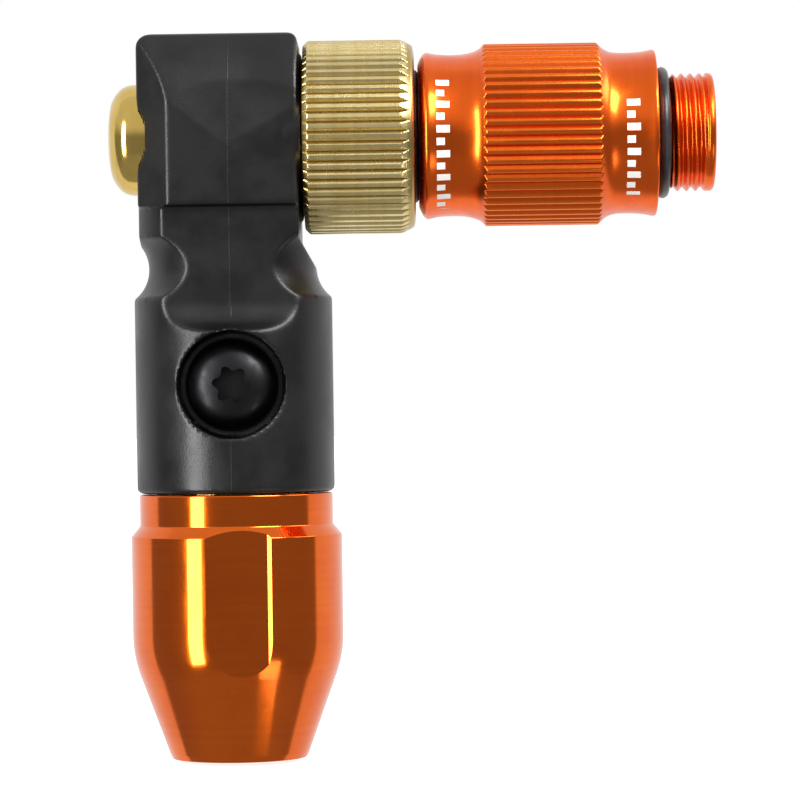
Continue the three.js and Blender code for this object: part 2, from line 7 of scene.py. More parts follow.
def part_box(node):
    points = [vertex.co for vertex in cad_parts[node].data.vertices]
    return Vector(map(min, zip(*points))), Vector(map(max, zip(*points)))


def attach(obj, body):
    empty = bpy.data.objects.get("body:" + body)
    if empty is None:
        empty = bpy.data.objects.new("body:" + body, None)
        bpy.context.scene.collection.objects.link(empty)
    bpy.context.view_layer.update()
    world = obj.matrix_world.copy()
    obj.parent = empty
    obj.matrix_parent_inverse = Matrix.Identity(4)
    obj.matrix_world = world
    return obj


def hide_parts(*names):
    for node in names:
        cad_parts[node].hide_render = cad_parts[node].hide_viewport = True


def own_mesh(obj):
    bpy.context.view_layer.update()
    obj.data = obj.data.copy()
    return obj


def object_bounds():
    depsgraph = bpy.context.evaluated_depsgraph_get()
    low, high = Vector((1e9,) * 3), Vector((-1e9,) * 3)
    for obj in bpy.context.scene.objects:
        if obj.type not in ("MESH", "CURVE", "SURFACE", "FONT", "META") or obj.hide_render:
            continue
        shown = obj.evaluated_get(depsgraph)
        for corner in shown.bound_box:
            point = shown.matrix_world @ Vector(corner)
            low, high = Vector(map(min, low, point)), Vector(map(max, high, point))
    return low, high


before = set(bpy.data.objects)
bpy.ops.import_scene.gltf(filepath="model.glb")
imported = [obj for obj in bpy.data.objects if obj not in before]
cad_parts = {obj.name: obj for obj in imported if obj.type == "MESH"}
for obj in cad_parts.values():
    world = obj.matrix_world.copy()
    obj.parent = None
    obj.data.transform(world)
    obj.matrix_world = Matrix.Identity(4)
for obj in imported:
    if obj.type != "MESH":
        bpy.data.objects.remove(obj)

mm = 0.001
fullTurn = 2 * math.pi
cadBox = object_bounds()


def boxInMm(node):
    low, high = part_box(node)
    return low / mm, high / mm


cupLow, cupHigh = boxInMm("cartridge_cup")
bodyLow, bodyHigh = boxInMm("body_moulding")
collarLow, collarHigh = boxInMm("knurled_collar")
chuckLow, chuckHigh = boxInMm("twin_chuck")
buttonLow, buttonHigh = boxInMm("thumb_button")
screwLow, screwHigh = boxInMm("body_screw")
valveHeight = (collarLow.z + collarHigh.z) / 2  # the valve's axis runs along X at this height
valveCentre = Vector((0, 0, valveHeight)) * mm


cameraSetup = {
    "lens": 178.2,
    "distance": 330.0,  # in front of the valve's axis
    "aside": -1.2,  # from the middle of the object
    "below": -0.45,
    "roll": 0.0148,
}

objectMiddle = (Vector(cadBox[0]) + Vector(cadBox[1])) / 2 / mm
bpy.ops.object.select_all(action="DESELECT")
bpy.ops.object.camera_add(
    location=Vector((
        objectMiddle.x + cameraSetup["aside"],
        -cameraSetup["distance"],
        objectMiddle.z + cameraSetup["below"],
    )) * mm,
    rotation=(math.pi / 2, cameraSetup["roll"], 0),
)
camera = bpy.context.object
camera.name = "frontCamera"
camera.data.lens = cameraSetup["lens"]
camera.data.sensor_width = 36
camera.data.clip_start = 0.01
camera.data.clip_end = 20
bpy.context.scene.camera = camera
bpy.context.scene.view_settings.view_transform = "Standard"

studio = {
    "floorGap": 0.35,  # below the cup's mouth
    "floorSize": 6000.0,
    "front": 0.28,  # how bright the dark side is, where the camera stands
    "frontHigh": 0.78,  # and above the camera
    "back": 0.95,  # how bright the sides and the back are
    "turn": 0.07,
    "edge": 0.19,
    "edgeWidth": 0.025,
    "below": 0.08,
    "rise": (0.05, 0.4),  # between which heights of the view the dark side brightens
    "glow": (-0.45, -0.65),  # and between which a weak glow comes from the table in front
    "softboxDistance": 600,
}

# azimuth and elevation in degrees as seen from the object: 0, 0 is where the camera stands
softboxes = {
    "leftStrip": {"azimuth": -46, "elevation": 2, "width": 165, "height": 640, "radiance": 14},
    "rightTop": {"azimuth": 43, "elevation": 40, "width": 300, "height": 290, "radiance": 15},
    "rightLow": {"azimuth": 40, "elevation": -34, "width": 200, "height": 180, "radiance": 2.5},
    "rightSide": {"azimuth": 92, "elevation": 36, "width": 260, "height": 220, "radiance": 5},
}


def addMath(tree, operation, *values, clamp=False):
    node = tree.nodes.new("ShaderNodeMath")
    node.operation = operation
    node.use_clamp = clamp
    for index, value in enumerate(values):
        if isinstance(value, (int, float)):
            node.inputs[index].default_value = value
        else:
            tree.links.new(value, node.inputs[index])
    return node.outputs[0]


def addRange(tree, value, low, high, toLow=0.0, toHigh=1.0, smooth=True):
    node = tree.nodes.new("ShaderNodeMapRange")
    node.interpolation_type = "SMOOTHSTEP" if smooth else "LINEAR"
    tree.links.new(value, node.inputs["Value"])
    for socketName, number in (("From Min", low), ("From Max", high), ("To Min", toLow), ("To Max", toHigh)):
        if isinstance(number, (int, float)):
            node.inputs[socketName].default_value = number
        else:
            tree.links.new(number, node.inputs[socketName])
    return node.outputs[0]


def buildWorld():
    world = bpy.data.worlds.new("studioWorld")
    bpy.context.scene.world = world
    world.use_nodes = True
    tree = world.node_tree
    tree.nodes.clear()
    output = tree.nodes.new("ShaderNodeOutputWorld")
    place = tree.nodes.new("ShaderNodeTexCoord")
    parts = tree.nodes.new("ShaderNodeSeparateXYZ")
    tree.links.new(place.outputs["Generated"], parts.inputs[0])
    lean = addMath(tree, "MULTIPLY_ADD", parts.outputs["X"], studio["turn"], parts.outputs["Y"])
    low, high = studio["edge"] - studio["edgeWidth"], studio["edge"] + studio["edgeWidth"]
    front = addRange(tree, parts.outputs["Z"], *studio["rise"], studio["front"], studio["frontHigh"])
    wall = addRange(tree, lean, low, high, front, studio["back"])
    glow = addRange(tree, parts.outputs["Z"], *studio["glow"], 0, studio["below"])
    lit = tree.nodes.new("ShaderNodeBackground")
    tree.links.new(addMath(tree, "ADD", wall, glow), lit.inputs["Strength"])
    paper = tree.nodes.new("ShaderNodeBackground")
    paper.inputs["Strength"].default_value = 1.0
    eye = tree.nodes.new("ShaderNodeLightPath")
    mix = tree.nodes.new("ShaderNodeMixShader")
    tree.links.new(eye.outputs["Is Camera Ray"], mix.inputs[0])
    tree.links.new(lit.outputs[0], mix.inputs[1])
    tree.links.new(paper.outputs[0], mix.inputs[2])
    tree.links.new(mix.outputs[0], output.inputs["Surface"])
    for background in (lit, paper):
        background.inputs["Color"].default_value = (1, 1, 1, 1)


def addSoftbox(name, azimuth, elevation, width, height, radiance):
    turn, rise = math.radians(azimuth), math.radians(elevation)
    away = Vector((math.sin(turn) * math.cos(rise), -math.cos(turn) * math.cos(rise), math.sin(rise)))
    target = Vector((objectMiddle.x, 0, objectMiddle.z)) * mm
    bpy.ops.object.light_add(type="AREA", location=target + away * studio["softboxDistance"] * mm)
    lamp = bpy.context.object
    lamp.name = name
    lamp.rotation_euler = away.to_track_quat("Z", "Y").to_euler()
    lamp.data.shape = "RECTANGLE"
    lamp.data.size = width * mm
    lamp.data.size_y = height * mm
    lamp.data.energy = radiance * math.pi * width * height * mm * mm
    lamp.visible_camera = False


buildWorld()
for boxName, values in softboxes.items():
    addSoftbox(boxName, **values)

bpy.ops.mesh.primitive_plane_add(
    size=studio["floorSize"] * mm,
    location=(0, 0, (cupLow.z - studio["floorGap"]) * mm),
)
floor = bpy.context.object
floor.name = "paleFloor"
floor.visible_glossy = False
floor.visible_diffuse = False
floor.visible_shadow = False
print("camera, floor and light ready")


def newGroup(name, inputs, outputs):
    group = bpy.data.node_groups.new(name, "ShaderNodeTree")
    for socketName, kind, value in inputs:
        socket = group.interface.new_socket(socketName, in_out="INPUT", socket_type="NodeSocket" + kind)
        if value is not None:
            socket.default_value = value
    for socketName, kind in outputs:
        group.interface.new_socket(socketName, in_out="OUTPUT", socket_type="NodeSocket" + kind)
    return group, group.nodes.new("NodeGroupInput"), group.nodes.new("NodeGroupOutput")


def addVectorMath(tree, operation, *values, output="Vector"):
    node = tree.nodes.new("ShaderNodeVectorMath")
    node.operation = operation
    for index, value in enumerate(values):
        if isinstance(value, (tuple, Vector)):
            node.inputs[index].default_value = value
        else:
            tree.links.new(value, node.inputs[index])
    return node.outputs[output]


def addNoise(tree, vector, scale, detail=2.0, roughness=0.5):
    node = tree.nodes.new("ShaderNodeTexNoise")
    node.inputs["Detail"].default_value = detail
    node.inputs["Roughness"].default_value = roughness
    tree.links.new(vector, node.inputs["Vector"])
    if isinstance(scale, (int, float)):
        node.inputs["Scale"].default_value = scale
    else:
        tree.links.new(scale, node.inputs["Scale"])
    return node.outputs[0]


# where a point is on a turned piece: along its axis, out from it and round it
def makeTurnedPlace():
    group, given, result = newGroup(
        "turnedPlace",
        [
            ("Vector", "Vector", None), ("Centre", "Vector", None),
            ("Axis", "Vector", (0, 0, 1)), ("Up", "Vector", (0, -1, 0)),
        ],
        [("Along", "Float"), ("Radius", "Float"), ("Angle", "Float")],
    )
    fromCentre = addVectorMath(group, "SUBTRACT", given.outputs["Vector"], given.outputs["Centre"])
    along = addVectorMath(group, "DOT_PRODUCT", fromCentre, given.outputs["Axis"], output="Value")
    side = addVectorMath(group, "CROSS_PRODUCT", given.outputs["Axis"], given.outputs["Up"])
    upward = addVectorMath(group, "DOT_PRODUCT", fromCentre, given.outputs["Up"], output="Value")
    sideward = addVectorMath(group, "DOT_PRODUCT", fromCentre, side, output="Value")
    square = addMath(
        group, "ADD", addMath(group, "MULTIPLY", upward, upward), addMath(group, "MULTIPLY", sideward, sideward))
    group.links.new(along, result.inputs["Along"])
    group.links.new(addMath(group, "SQRT", square), result.inputs["Radius"])
    group.links.new(addMath(group, "ARCTAN2", sideward, upward), result.inputs["Angle"])
    return group


# the fine rings that a lathe tool leaves, on round walls and on faces alike
def makeTurnedLines():
    group, given, result = newGroup(
        "turnedLines",
        [("Along", "Float", 0), ("Radius", "Float", 0), ("Pitch", "Float", 0.0001)],
        [("Lines", "Float"), ("Bands", "Float")],
    )
    reach = addMath(group, "MULTIPLY_ADD", given.outputs["Radius"], 0.83, given.outputs["Along"])
    steps = addMath(group, "DIVIDE", reach, given.outputs["Pitch"])
    for socketName, stretch in (("Lines", 1.0), ("Bands", 0.09)):
        noise = group.nodes.new("ShaderNodeTexNoise")
        noise.noise_dimensions = "1D"
        noise.inputs["Scale"].default_value = stretch
        noise.inputs["Detail"].default_value = 2
        group.links.new(steps, noise.inputs["W"])
        group.links.new(noise.outputs[0], result.inputs[socketName])
    return group


# soft patches from handling, and sparse hairline scratches
def makeHandMarks():
    group, given, result = newGroup(
        "handMarks",
        [("Vector", "Vector", None), ("Size", "Float", 0.003)],
        [("Smudge", "Float"), ("Scratch", "Float")],
    )
    scale = addMath(group, "DIVIDE", 1.0, given.outputs["Size"])
    smudge = addNoise(group, given.outputs["Vector"], scale, 3.0, 0.6)
    group.links.new(addRange(group, smudge, 0.38, 0.68), result.inputs["Smudge"])
    stretched = addVectorMath(group, "MULTIPLY", given.outputs["Vector"], (1.0, 1.0, 0.22))
    hair = addNoise(group, stretched, scale, 1.0, 0.4)
    gap = addMath(group, "ABSOLUTE", addMath(group, "SUBTRACT", hair, 0.5))
    line = addRange(group, gap, 0.0, 0.006, 1.0, 0.0)
    broad = addNoise(group, given.outputs["Vector"], addMath(group, "MULTIPLY", scale, 0.7), 1.0)
    patch = addRange(group, broad, 0.52, 0.6)
    group.links.new(addMath(group, "MULTIPLY", line, patch), result.inputs["Scratch"])
    return group


# the fine even grain of a spark-eroded mould, with slightly uneven gloss
def makeMouldGrain():
    group, given, result = newGroup(
        "mouldGrain",
        [("Vector", "Vector", None), ("Grain", "Float", 0.00012)],
        [("Height", "Float"), ("Gloss", "Float")],
    )
    scale = addMath(group, "DIVIDE", 1.0, given.outputs["Grain"])
    fine = addNoise(group, given.outputs["Vector"], scale, 2.0, 0.6)
    coarse = addNoise(group, given.outputs["Vector"], addMath(group, "MULTIPLY", scale, 0.22), 2.0, 0.5)
    group.links.new(addMath(group, "MULTIPLY_ADD", coarse, 0.5, fine), result.inputs["Height"])
    broad = addNoise(group, given.outputs["Vector"], addMath(group, "MULTIPLY", scale, 0.03), 3.0, 0.6)
    group.links.new(addRange(group, broad, 0.35, 0.65), result.inputs["Gloss"])
    return group


turnedPlace = makeTurnedPlace()
turnedLines = makeTurnedLines()
handMarks = makeHandMarks()
mouldGrain = makeMouldGrain()


def startFinish(name, **constants):
    material = bpy.data.materials.new(name)
    material.use_nodes = True
    tree = material.node_tree
    shader = tree.nodes["Principled BSDF"]
    for socketName, value in constants.items():
        shader.inputs[socketName.replace("_", " ")].default_value = value
    spot = tree.nodes.new("ShaderNodeTexCoord").outputs["Object"]
    return material, tree, shader, spot


def placeGroup(tree, group, **values):
    node = tree.nodes.new("ShaderNodeGroup")
    node.node_tree = group
    for socketName, value in values.items():
        if isinstance(value, bpy.types.NodeSocket):
            tree.links.new(value, node.inputs[socketName])
        else:
            node.inputs[socketName].default_value = value
    return node.outputs


def mixColours(tree, factor, first, second):
    node = tree.nodes.new("ShaderNodeMix")
    node.data_type = "RGBA"
    tree.links.new(factor, node.inputs["Factor"])
    for socket, colour in ((node.inputs[6], first), (node.inputs[7], second)):
        if isinstance(colour, tuple):
            socket.default_value = (*colour, 1)
        else:
            tree.links.new(colour, socket)
    return node.outputs[2]


def addBump(tree, shader, height, depth, strength=1.0):
    node = tree.nodes.new("ShaderNodeBump")
    node.inputs["Strength"].default_value = strength
    node.inputs["Distance"].default_value = depth * mm
    tree.links.new(height, node.inputs["Height"])
    tree.links.new(node.outputs["Normal"], shader.inputs["Normal"])


cupAxis = {"Centre": (0, 0, 0), "Axis": (0, 0, 1), "Up": (0, -1, 0)}
valveAxis = {"Centre": tuple(valveCentre), "Axis": (1, 0, 0), "Up": (0, -1, 0)}

# a turned metal finish: two colours, roughness low to high, pitch and depth of the tool marks in mm
turnedFinishes = {
    "amberAnodised": {
        "axis": cupAxis, "colour": (0.86, 0.155, 0.007), "shade": (0.77, 0.12, 0.005),
        "rough": (0.11, 0.17), "pitch": 0.05, "depth": 0.0005, "coat": 0.3, "marks": 3.5, "cross": None,
    },
    "paleBrass": {
        "axis": valveAxis, "colour": (0.80, 0.66, 0.34), "shade": (0.62, 0.48, 0.19),
        "rough": (0.24, 0.34), "pitch": 0.09, "depth": 0.003, "coat": 0.0, "marks": 2.5,
        # cross: cross lines on the knurl's crests, and painted shade that darkens its valleys
        "cross": {"root": 7.72, "crest": 7.87, "pitch": 0.14, "hollow": (0.46, 0.33, 0.12)},
    },
    "goldenBrass": {
        "axis": valveAxis, "colour": (0.74, 0.53, 0.16), "shade": (0.62, 0.42, 0.1),
        "rough": (0.12, 0.2), "pitch": 0.05, "depth": 0.0008, "coat": 0.0, "marks": 2.0, "cross": None,
    },
    "plainBrass": {
        "axis": cupAxis, "colour": (0.76, 0.58, 0.26), "shade": (0.6, 0.42, 0.16),
        "rough": (0.25, 0.38), "pitch": 0.1, "depth": 0.003, "coat": 0.0, "marks": 2.0, "cross": None,
    },
    "turnedSteel": {
        "axis": cupAxis, "colour": (0.6, 0.6, 0.61), "shade": (0.45, 0.45, 0.46),
        "rough": (0.22, 0.34), "pitch": 0.08, "depth": 0.002, "coat": 0.0, "marks": 1.5, "cross": None,
    },
    "blackOxide": {
        "axis": {"Centre": (0, 0, (screwLow.z + screwHigh.z) / 2 * mm), "Axis": (0, 1, 0), "Up": (0, 0, 1)},
        "colour": (0.03, 0.03, 0.032), "shade": (0.018, 0.018, 0.019),
        "rough": (0.34, 0.5), "pitch": 0.08, "depth": 0.002, "coat": 0.0, "marks": 1.0, "cross": None,
    },
}


def makeTurnedFinish(name, axis, colour, shade, rough, pitch, depth, coat, marks, cross):
    material, tree, shader, spot = startFinish(name, Metallic=1.0, Coat_Weight=coat, Coat_Roughness=0.08)
    place = placeGroup(tree, turnedPlace, Vector=spot, **axis)
    lines = placeGroup(tree, turnedLines, Along=place["Along"], Radius=place["Radius"], Pitch=pitch * mm)
    marked = placeGroup(tree, handMarks, Vector=spot, Size=marks * mm)
    tone = addMath(
        tree, "MULTIPLY_ADD", marked["Smudge"], 0.5, addMath(tree, "MULTIPLY", lines["Bands"], 0.7), clamp=True)
    tree.links.new(mixColours(tree, tone, colour, shade), shader.inputs["Base Color"])
    dull = addMath(
        tree, "MULTIPLY_ADD", marked["Scratch"], 0.8, addMath(tree, "MULTIPLY", marked["Smudge"], 0.6), clamp=True)
    tree.links.new(addRange(tree, dull, 0.0, 1.0, rough[0], rough[1], smooth=False), shader.inputs["Roughness"])
    height = lines["Lines"]
    if cross:
        crest = addRange(tree, place["Radius"], cross["root"] * mm, cross["crest"] * mm)
        height = addMath(tree, "ADD", height, addCrossLines(tree, place, crest, cross["pitch"], 1.2))
        # painted shade: below the crest radius the knurl's valleys are painted the darker colour
        base = mixColours(tree, crest, cross["hollow"], shader.inputs["Base Color"].links[0].from_socket)
        tree.links.new(base, shader.inputs["Base Color"])
    addBump(tree, shader, height, depth)
    return material


# the even fine lines that a knurling wheel leaves across the crests of its teeth
def addCrossLines(tree, place, crest, pitch, strength):
    turns = addMath(tree, "MULTIPLY", place["Along"], fullTurn / (pitch * mm))
    wave = addMath(tree, "SINE", turns)
    return addMath(tree, "MULTIPLY", addMath(tree, "MULTIPLY", wave, crest), strength / 2)


# the red-orange chuck: satin anodising, with a painted highlight that makes the knurl's crests paler, and light
# graduation marks
chuckFinish = {
    "colour": (0.9, 0.14, 0.011),
    # crest: the painted highlight's colour on the knurl's crests
    "crest": (0.92, 0.19, 0.02),
    # the dark end of the random mottling; the valleys keep it where the crests are painted over
    "hollow": (0.74, 0.09, 0.006),
    "rough": (0.22, 0.3),
    "markColour": (0.86, 0.84, 0.8),
    "leftMarks": {"from": 17.05, "to": 18.15, "firstAngle": -39, "lastAngle": 67},
    "rightMarks": {"from": 32.65, "to": 33.75, "firstAngle": -21, "lastAngle": 53},
    "markStep": 8.8,  # degrees from one mark to the next
    "markShare": 0.58,
}


def addMarkColumn(tree, place, column):
    left, right = column["from"] * mm, column["to"] * mm
    step = math.radians(chuckFinish["markStep"])
    first, last = math.radians(column["firstAngle"]), math.radians(column["lastAngle"])
    count = addMath(tree, "DIVIDE", addMath(tree, "SUBTRACT", place["Angle"], first), step)
    phase = addMath(tree, "FRACT", count)
    bar = addMath(tree, "LESS_THAN", phase, chuckFinish["markShare"])
    whole = addMath(tree, "FLOOR", count)
    even = addMath(tree, "LESS_THAN", addMath(tree, "FRACT", addMath(tree, "MULTIPLY", whole, 0.5)), 0.25)
    shortEnd = left + (right - left) * 0.62
    end = addMath(tree, "MULTIPLY_ADD", even, right - shortEnd, shortEnd)
    inside = addMath(
        tree, "MULTIPLY",
        addMath(tree, "GREATER_THAN", place["Along"], left), addMath(tree, "LESS_THAN", place["Along"], end))
    span = addMath(
        tree, "MULTIPLY",
        addMath(tree, "GREATER_THAN", place["Angle"], first), addMath(tree, "LESS_THAN", place["Angle"], last))
    return addMath(tree, "MULTIPLY", addMath(tree, "MULTIPLY", inside, span), bar)


def makeChuckFinish():
    material, tree, shader, spot = startFinish("redAnodised", Coat_Weight=0.15, Coat_Roughness=0.16)
    place = placeGroup(tree, turnedPlace, Vector=spot, Centre=tuple(valveCentre), Axis=(1, 0, 0), Up=(0, -1, 0))
    lines = placeGroup(tree, turnedLines, Along=place["Along"], Radius=place["Radius"], Pitch=0.07 * mm)
    marked = placeGroup(tree, handMarks, Vector=spot, Size=2.5 * mm)
    high = addRange(tree, place["Radius"], 7.42 * mm, 7.58 * mm)
    tone = addMath(
        tree, "MULTIPLY_ADD", marked["Smudge"], 0.45, addMath(tree, "MULTIPLY", lines["Bands"], 0.5), clamp=True)
    base = mixColours(tree, tone, chuckFinish["colour"], chuckFinish["hollow"])
    # painted highlight: the knurl's crests, above 7.42 mm, are painted paler
    base = mixColours(tree, addMath(tree, "MULTIPLY", high, 0.7), base, chuckFinish["crest"])
    marks = addMath(
        tree, "MAXIMUM",
        addMarkColumn(tree, place, chuckFinish["leftMarks"]),
        addMarkColumn(tree, place, chuckFinish["rightMarks"]),
    )
    marks = addMath(tree, "MULTIPLY", marks, addMath(tree, "GREATER_THAN", place["Radius"], 6.2 * mm))
    base = mixColours(tree, marks, base, chuckFinish["markColour"])
    tree.links.new(base, shader.inputs["Base Color"])
    low, top = chuckFinish["rough"]
    dull = addRange(tree, marked["Smudge"], 0.0, 1.0, low, top, smooth=False)
    tree.links.new(addMath(tree, "MULTIPLY_ADD", marks, 0.3, dull), shader.inputs["Roughness"])
    tree.links.new(addMath(tree, "MULTIPLY_ADD", marks, -0.8, 1.0), shader.inputs["Metallic"])
    height = addMath(tree, "MULTIPLY_ADD", marks, -3.0, lines["Lines"])
    addBump(tree, shader, addMath(tree, "ADD", height, addCrossLines(tree, place, high, 0.14, 1.6)), 0.0015)
    return material


# near-black moulded nylon with its fine grain, and the thin parting line down the middle of the front and the back
mouldingFinish = {
    "colour": (0.0018, 0.0018, 0.0018),
    "worn": (0.0042, 0.0042, 0.0041),
    "rough": (0.3, 0.4),
    "grain": 0.16,
    "grainDepth": 0.009,
    "partingWidth": 0.09,
}


def makeMouldingFinish():
    material, tree, shader, spot = startFinish("blackNylon", Specular_IOR_Level=0.42)
    grain = placeGroup(tree, mouldGrain, Vector=spot, Grain=mouldingFinish["grain"] * mm)
    marked = placeGroup(tree, handMarks, Vector=spot, Size=4.0 * mm)
    tone = addMath(
        tree, "MULTIPLY_ADD", marked["Smudge"], 0.4, addMath(tree, "MULTIPLY", grain["Gloss"], 0.5), clamp=True)
    base = mixColours(tree, tone, mouldingFinish["colour"], mouldingFinish["worn"])
    tree.links.new(base, shader.inputs["Base Color"])
    low, top = mouldingFinish["rough"]
    dull = addMath(tree, "MULTIPLY_ADD", marked["Scratch"], 0.3, grain["Gloss"], clamp=True)
    tree.links.new(addRange(tree, dull, 0.0, 1.0, low, top, smooth=False), shader.inputs["Roughness"])
    parts = tree.nodes.new("ShaderNodeSeparateXYZ")
    tree.links.new(spot, parts.inputs[0])
    aside = addMath(tree, "ABSOLUTE", parts.outputs["X"])
    seam = addRange(tree, aside, 0.0, mouldingFinish["partingWidth"] * mm, 1.0, 0.0)
    addBump(tree, shader, addMath(tree, "MULTIPLY_ADD", seam, 1.2, grain["Height"]), mouldingFinish["grainDepth"])
    return material


# black nitrile: a faint bloom, mould specks and soft gloss
def makeRubberFinish():
    material, tree, shader, spot = startFinish("blackNitrile", Specular_IOR_Level=0.5)
    grain = placeGroup(tree, mouldGrain, Vector=spot, Grain=0.1 * mm)
    marked = placeGroup(tree, handMarks, Vector=spot, Size=1.2 * mm)
    base = mixColours(tree, marked["Smudge"], (0.012, 0.0125, 0.014), (0.03, 0.031, 0.034))
    tree.links.new(base, shader.inputs["Base Color"])
    tree.links.new(addRange(tree, grain["Gloss"], 0.0, 1.0, 0.28, 0.4, smooth=False), shader.inputs["Roughness"])
    addBump(tree, shader, grain["Height"], 0.004)
    return material


def makeAcetalFinish():
    material, tree, shader, spot = startFinish("whiteAcetal")
    grain = placeGroup(tree, mouldGrain, Vector=spot, Grain=0.2 * mm)
    tree.links.new(mixColours(tree, grain["Gloss"], (0.8, 0.78, 0.7), (0.72, 0.69, 0.6)), shader.inputs["Base Color"])
    tree.links.new(addRange(tree, grain["Gloss"], 0.0, 1.0, 0.34, 0.46, smooth=False), shader.inputs["Roughness"])
    addBump(tree, shader, grain["Height"], 0.004)
    return material


def makeFloorFinish():
    material, tree, shader, spot = startFinish(
        "palePaper", Roughness=0.9, Specular_IOR_Level=0.1, Emission_Color=(1, 1, 1, 1), Emission_Strength=0.86)
    grain = placeGroup(tree, mouldGrain, Vector=spot, Grain=0.4 * mm)
    tree.links.new(mixColours(tree, grain["Gloss"], (0.94, 0.94, 0.94), (0.9, 0.9, 0.9)), shader.inputs["Base Color"])
    return material


finishes = {name: makeTurnedFinish(name, **values) for name, values in turnedFinishes.items()}
finishes["redAnodised"] = makeChuckFinish()
finishes["blackNylon"] = makeMouldingFinish()
finishes["blackNitrile"] = makeRubberFinish()
finishes["whiteAcetal"] = makeAcetalFinish()
floor.data.materials.append(makeFloorFinish())
print("finishes ready")


def deselectAll():
    if bpy.context.object and bpy.context.object.mode != "OBJECT":
        bpy.ops.object.mode_set(mode="OBJECT")
    bpy.ops.object.select_all(action="DESELECT")


def makeActive(piece):
    deselectAll()
    piece.select_set(True)
    bpy.context.view_layer.objects.active = piece


def editAll(piece):
    makeActive(piece)
    bpy.ops.object.mode_set(mode="EDIT")
    bpy.ops.mesh.select_mode(type="VERT")
    bpy.ops.mesh.select_all(action="SELECT")


def cleanShell(piece):
    editAll(piece)
    bpy.ops.mesh.remove_doubles(threshold=0.000001)
    bpy.ops.mesh.dissolve_degenerate(threshold=0.0000005)
    bpy.ops.mesh.select_all(action="SELECT")
    bpy.ops.mesh.normals_make_consistent(inside=False)
    bpy.ops.object.mode_set(mode="OBJECT")


def smoothShell(piece, angle=35):
    makeActive(piece)
    bpy.ops.object.shade_smooth_by_angle(angle=math.radians(angle))


def applyModifier(piece, kind, **settings):
    makeActive(piece)
    modifier = piece.modifiers.new(kind.lower(), kind)
    for setting, value in settings.items():
        setattr(modifier, setting, value)
    bpy.ops.object.modifier_apply(modifier=modifier.name)


def cutWith(piece, tool, operation="DIFFERENCE"):
    applyModifier(piece, "BOOLEAN", operation=operation, object=tool, solver="EXACT")
    bpy.data.objects.remove(tool)


# rounds the corners of an outline: each corner is (radius, along, round), in mm
def roundOutline(corners, closed=True, segments=6):
    points = []
    count = len(corners)
    for index, corner in enumerate(corners):
        here = Vector(corner[:2])
        size = corner[2] if len(corner) > 2 else 0
        atEnd = not closed and index in (0, count - 1)
        if size <= 0 or atEnd:
            points.append(here)
            continue
        back = (Vector(corners[index - 1][:2]) - here).normalized()
        ahead = (Vector(corners[(index + 1) % count][:2]) - here).normalized()
        half = back.angle(ahead) / 2
        reach = size / math.tan(half)
        middle = here + (back + ahead).normalized() * (size / math.sin(half))
        start, end = here + back * reach, here + ahead * reach
        first, last = start - middle, end - middle
        sweep = first.angle_signed(last) if first.length > 1e-9 else 0
        for step in range(segments + 1):
            turn = -sweep * step / segments
            points.append(middle + Matrix.Rotation(turn, 2) @ first)
    return points


# adds points so that no step between the given places is longer than the given one
def refineOutline(points, longest, between=None):
    fine = []
    for index, point in enumerate(points):
        fine.append(point)
        if index + 1 == len(points):
            break
        following = points[index + 1]
        low, high = sorted((point.y, following.y))
        if between and not (low >= between[0] - 0.001 and high <= between[1] + 0.001):
            continue
        pieces = math.ceil((following - point).length / longest)
        fine.extend(point.lerp(following, step / pieces) for step in range(1, pieces))
    return fine


# a smooth line through the given points, with extra ones between them; long straight runs stay straight
def smoothCurve(points, pieces):
    fine = [points[0]]
    for index in range(len(points) - 1):
        a = points[max(index - 1, 0)]
        b, c = points[index], points[index + 1]
        d = points[min(index + 2, len(points) - 1)]
        if (c - b).length > 3:
            fine.append(c)
            continue
        span = (c - b).length
        inward = (c - a).normalized() * span if (c - a).length < 3 else (c - b)
        outward = (d - b).normalized() * span if (d - b).length < 3 else (c - b)
        for step in range(1, pieces + 1):
            t = step / pieces
            fine.append(
                b * (2 * t ** 3 - 3 * t ** 2 + 1) + inward * (t ** 3 - 2 * t ** 2 + t)
                + c * (-2 * t ** 3 + 3 * t ** 2) + outward * (t ** 3 - t ** 2)
            )
    return fine


# draws an outline of (radius, along) points, one extruded vertex after the other
def drawOutline(name, points, onValve):
    def spotOf(point):
        if onValve:
            return Vector((point[1], 0, valveHeight + point[0])) * mm
        return Vector((point[0], 0, point[1])) * mm

    deselectAll()
    bpy.ops.mesh.primitive_plane_add(size=mm, location=(0, 0, 0))
    piece = bpy.context.object
    piece.name = name
    piece.data.name = name
    bpy.ops.object.mode_set(mode="EDIT")
    bpy.ops.mesh.select_mode(type="VERT")
    bpy.ops.mesh.select_all(action="SELECT")
    bpy.ops.mesh.merge(type="CENTER")
    bpy.ops.transform.translate(value=spotOf(points[0]))
    for before, after in zip(points, points[1:]):
        bpy.ops.mesh.extrude_vertices_move(TRANSFORM_OT_translate={"value": spotOf(after) - spotOf(before)})
    bpy.ops.object.mode_set(mode="OBJECT")
    return piece


def spinOutline(piece, onValve, columns, angle=fullTurn):
    editAll(piece)
    centre = valveCentre if onValve else Vector((0, 0, 0))
    axis = (1, 0, 0) if onValve else (0, 0, 1)
    bpy.ops.mesh.spin(steps=columns, angle=angle, center=centre, axis=axis)
    bpy.ops.object.mode_set(mode="OBJECT")


# a closed turned piece
def turnPiece(name, corners, onValve, columns=128, segments=6, closed=True, longest=None, between=None):
    points = roundOutline(corners, closed, segments)
    if closed:
        points.append(points[0].copy())
    if longest:
        points = refineOutline(points, longest, between)
    piece = drawOutline(name, points, onValve)
    spinOutline(piece, onValve, columns)
    cleanShell(piece)
    return piece


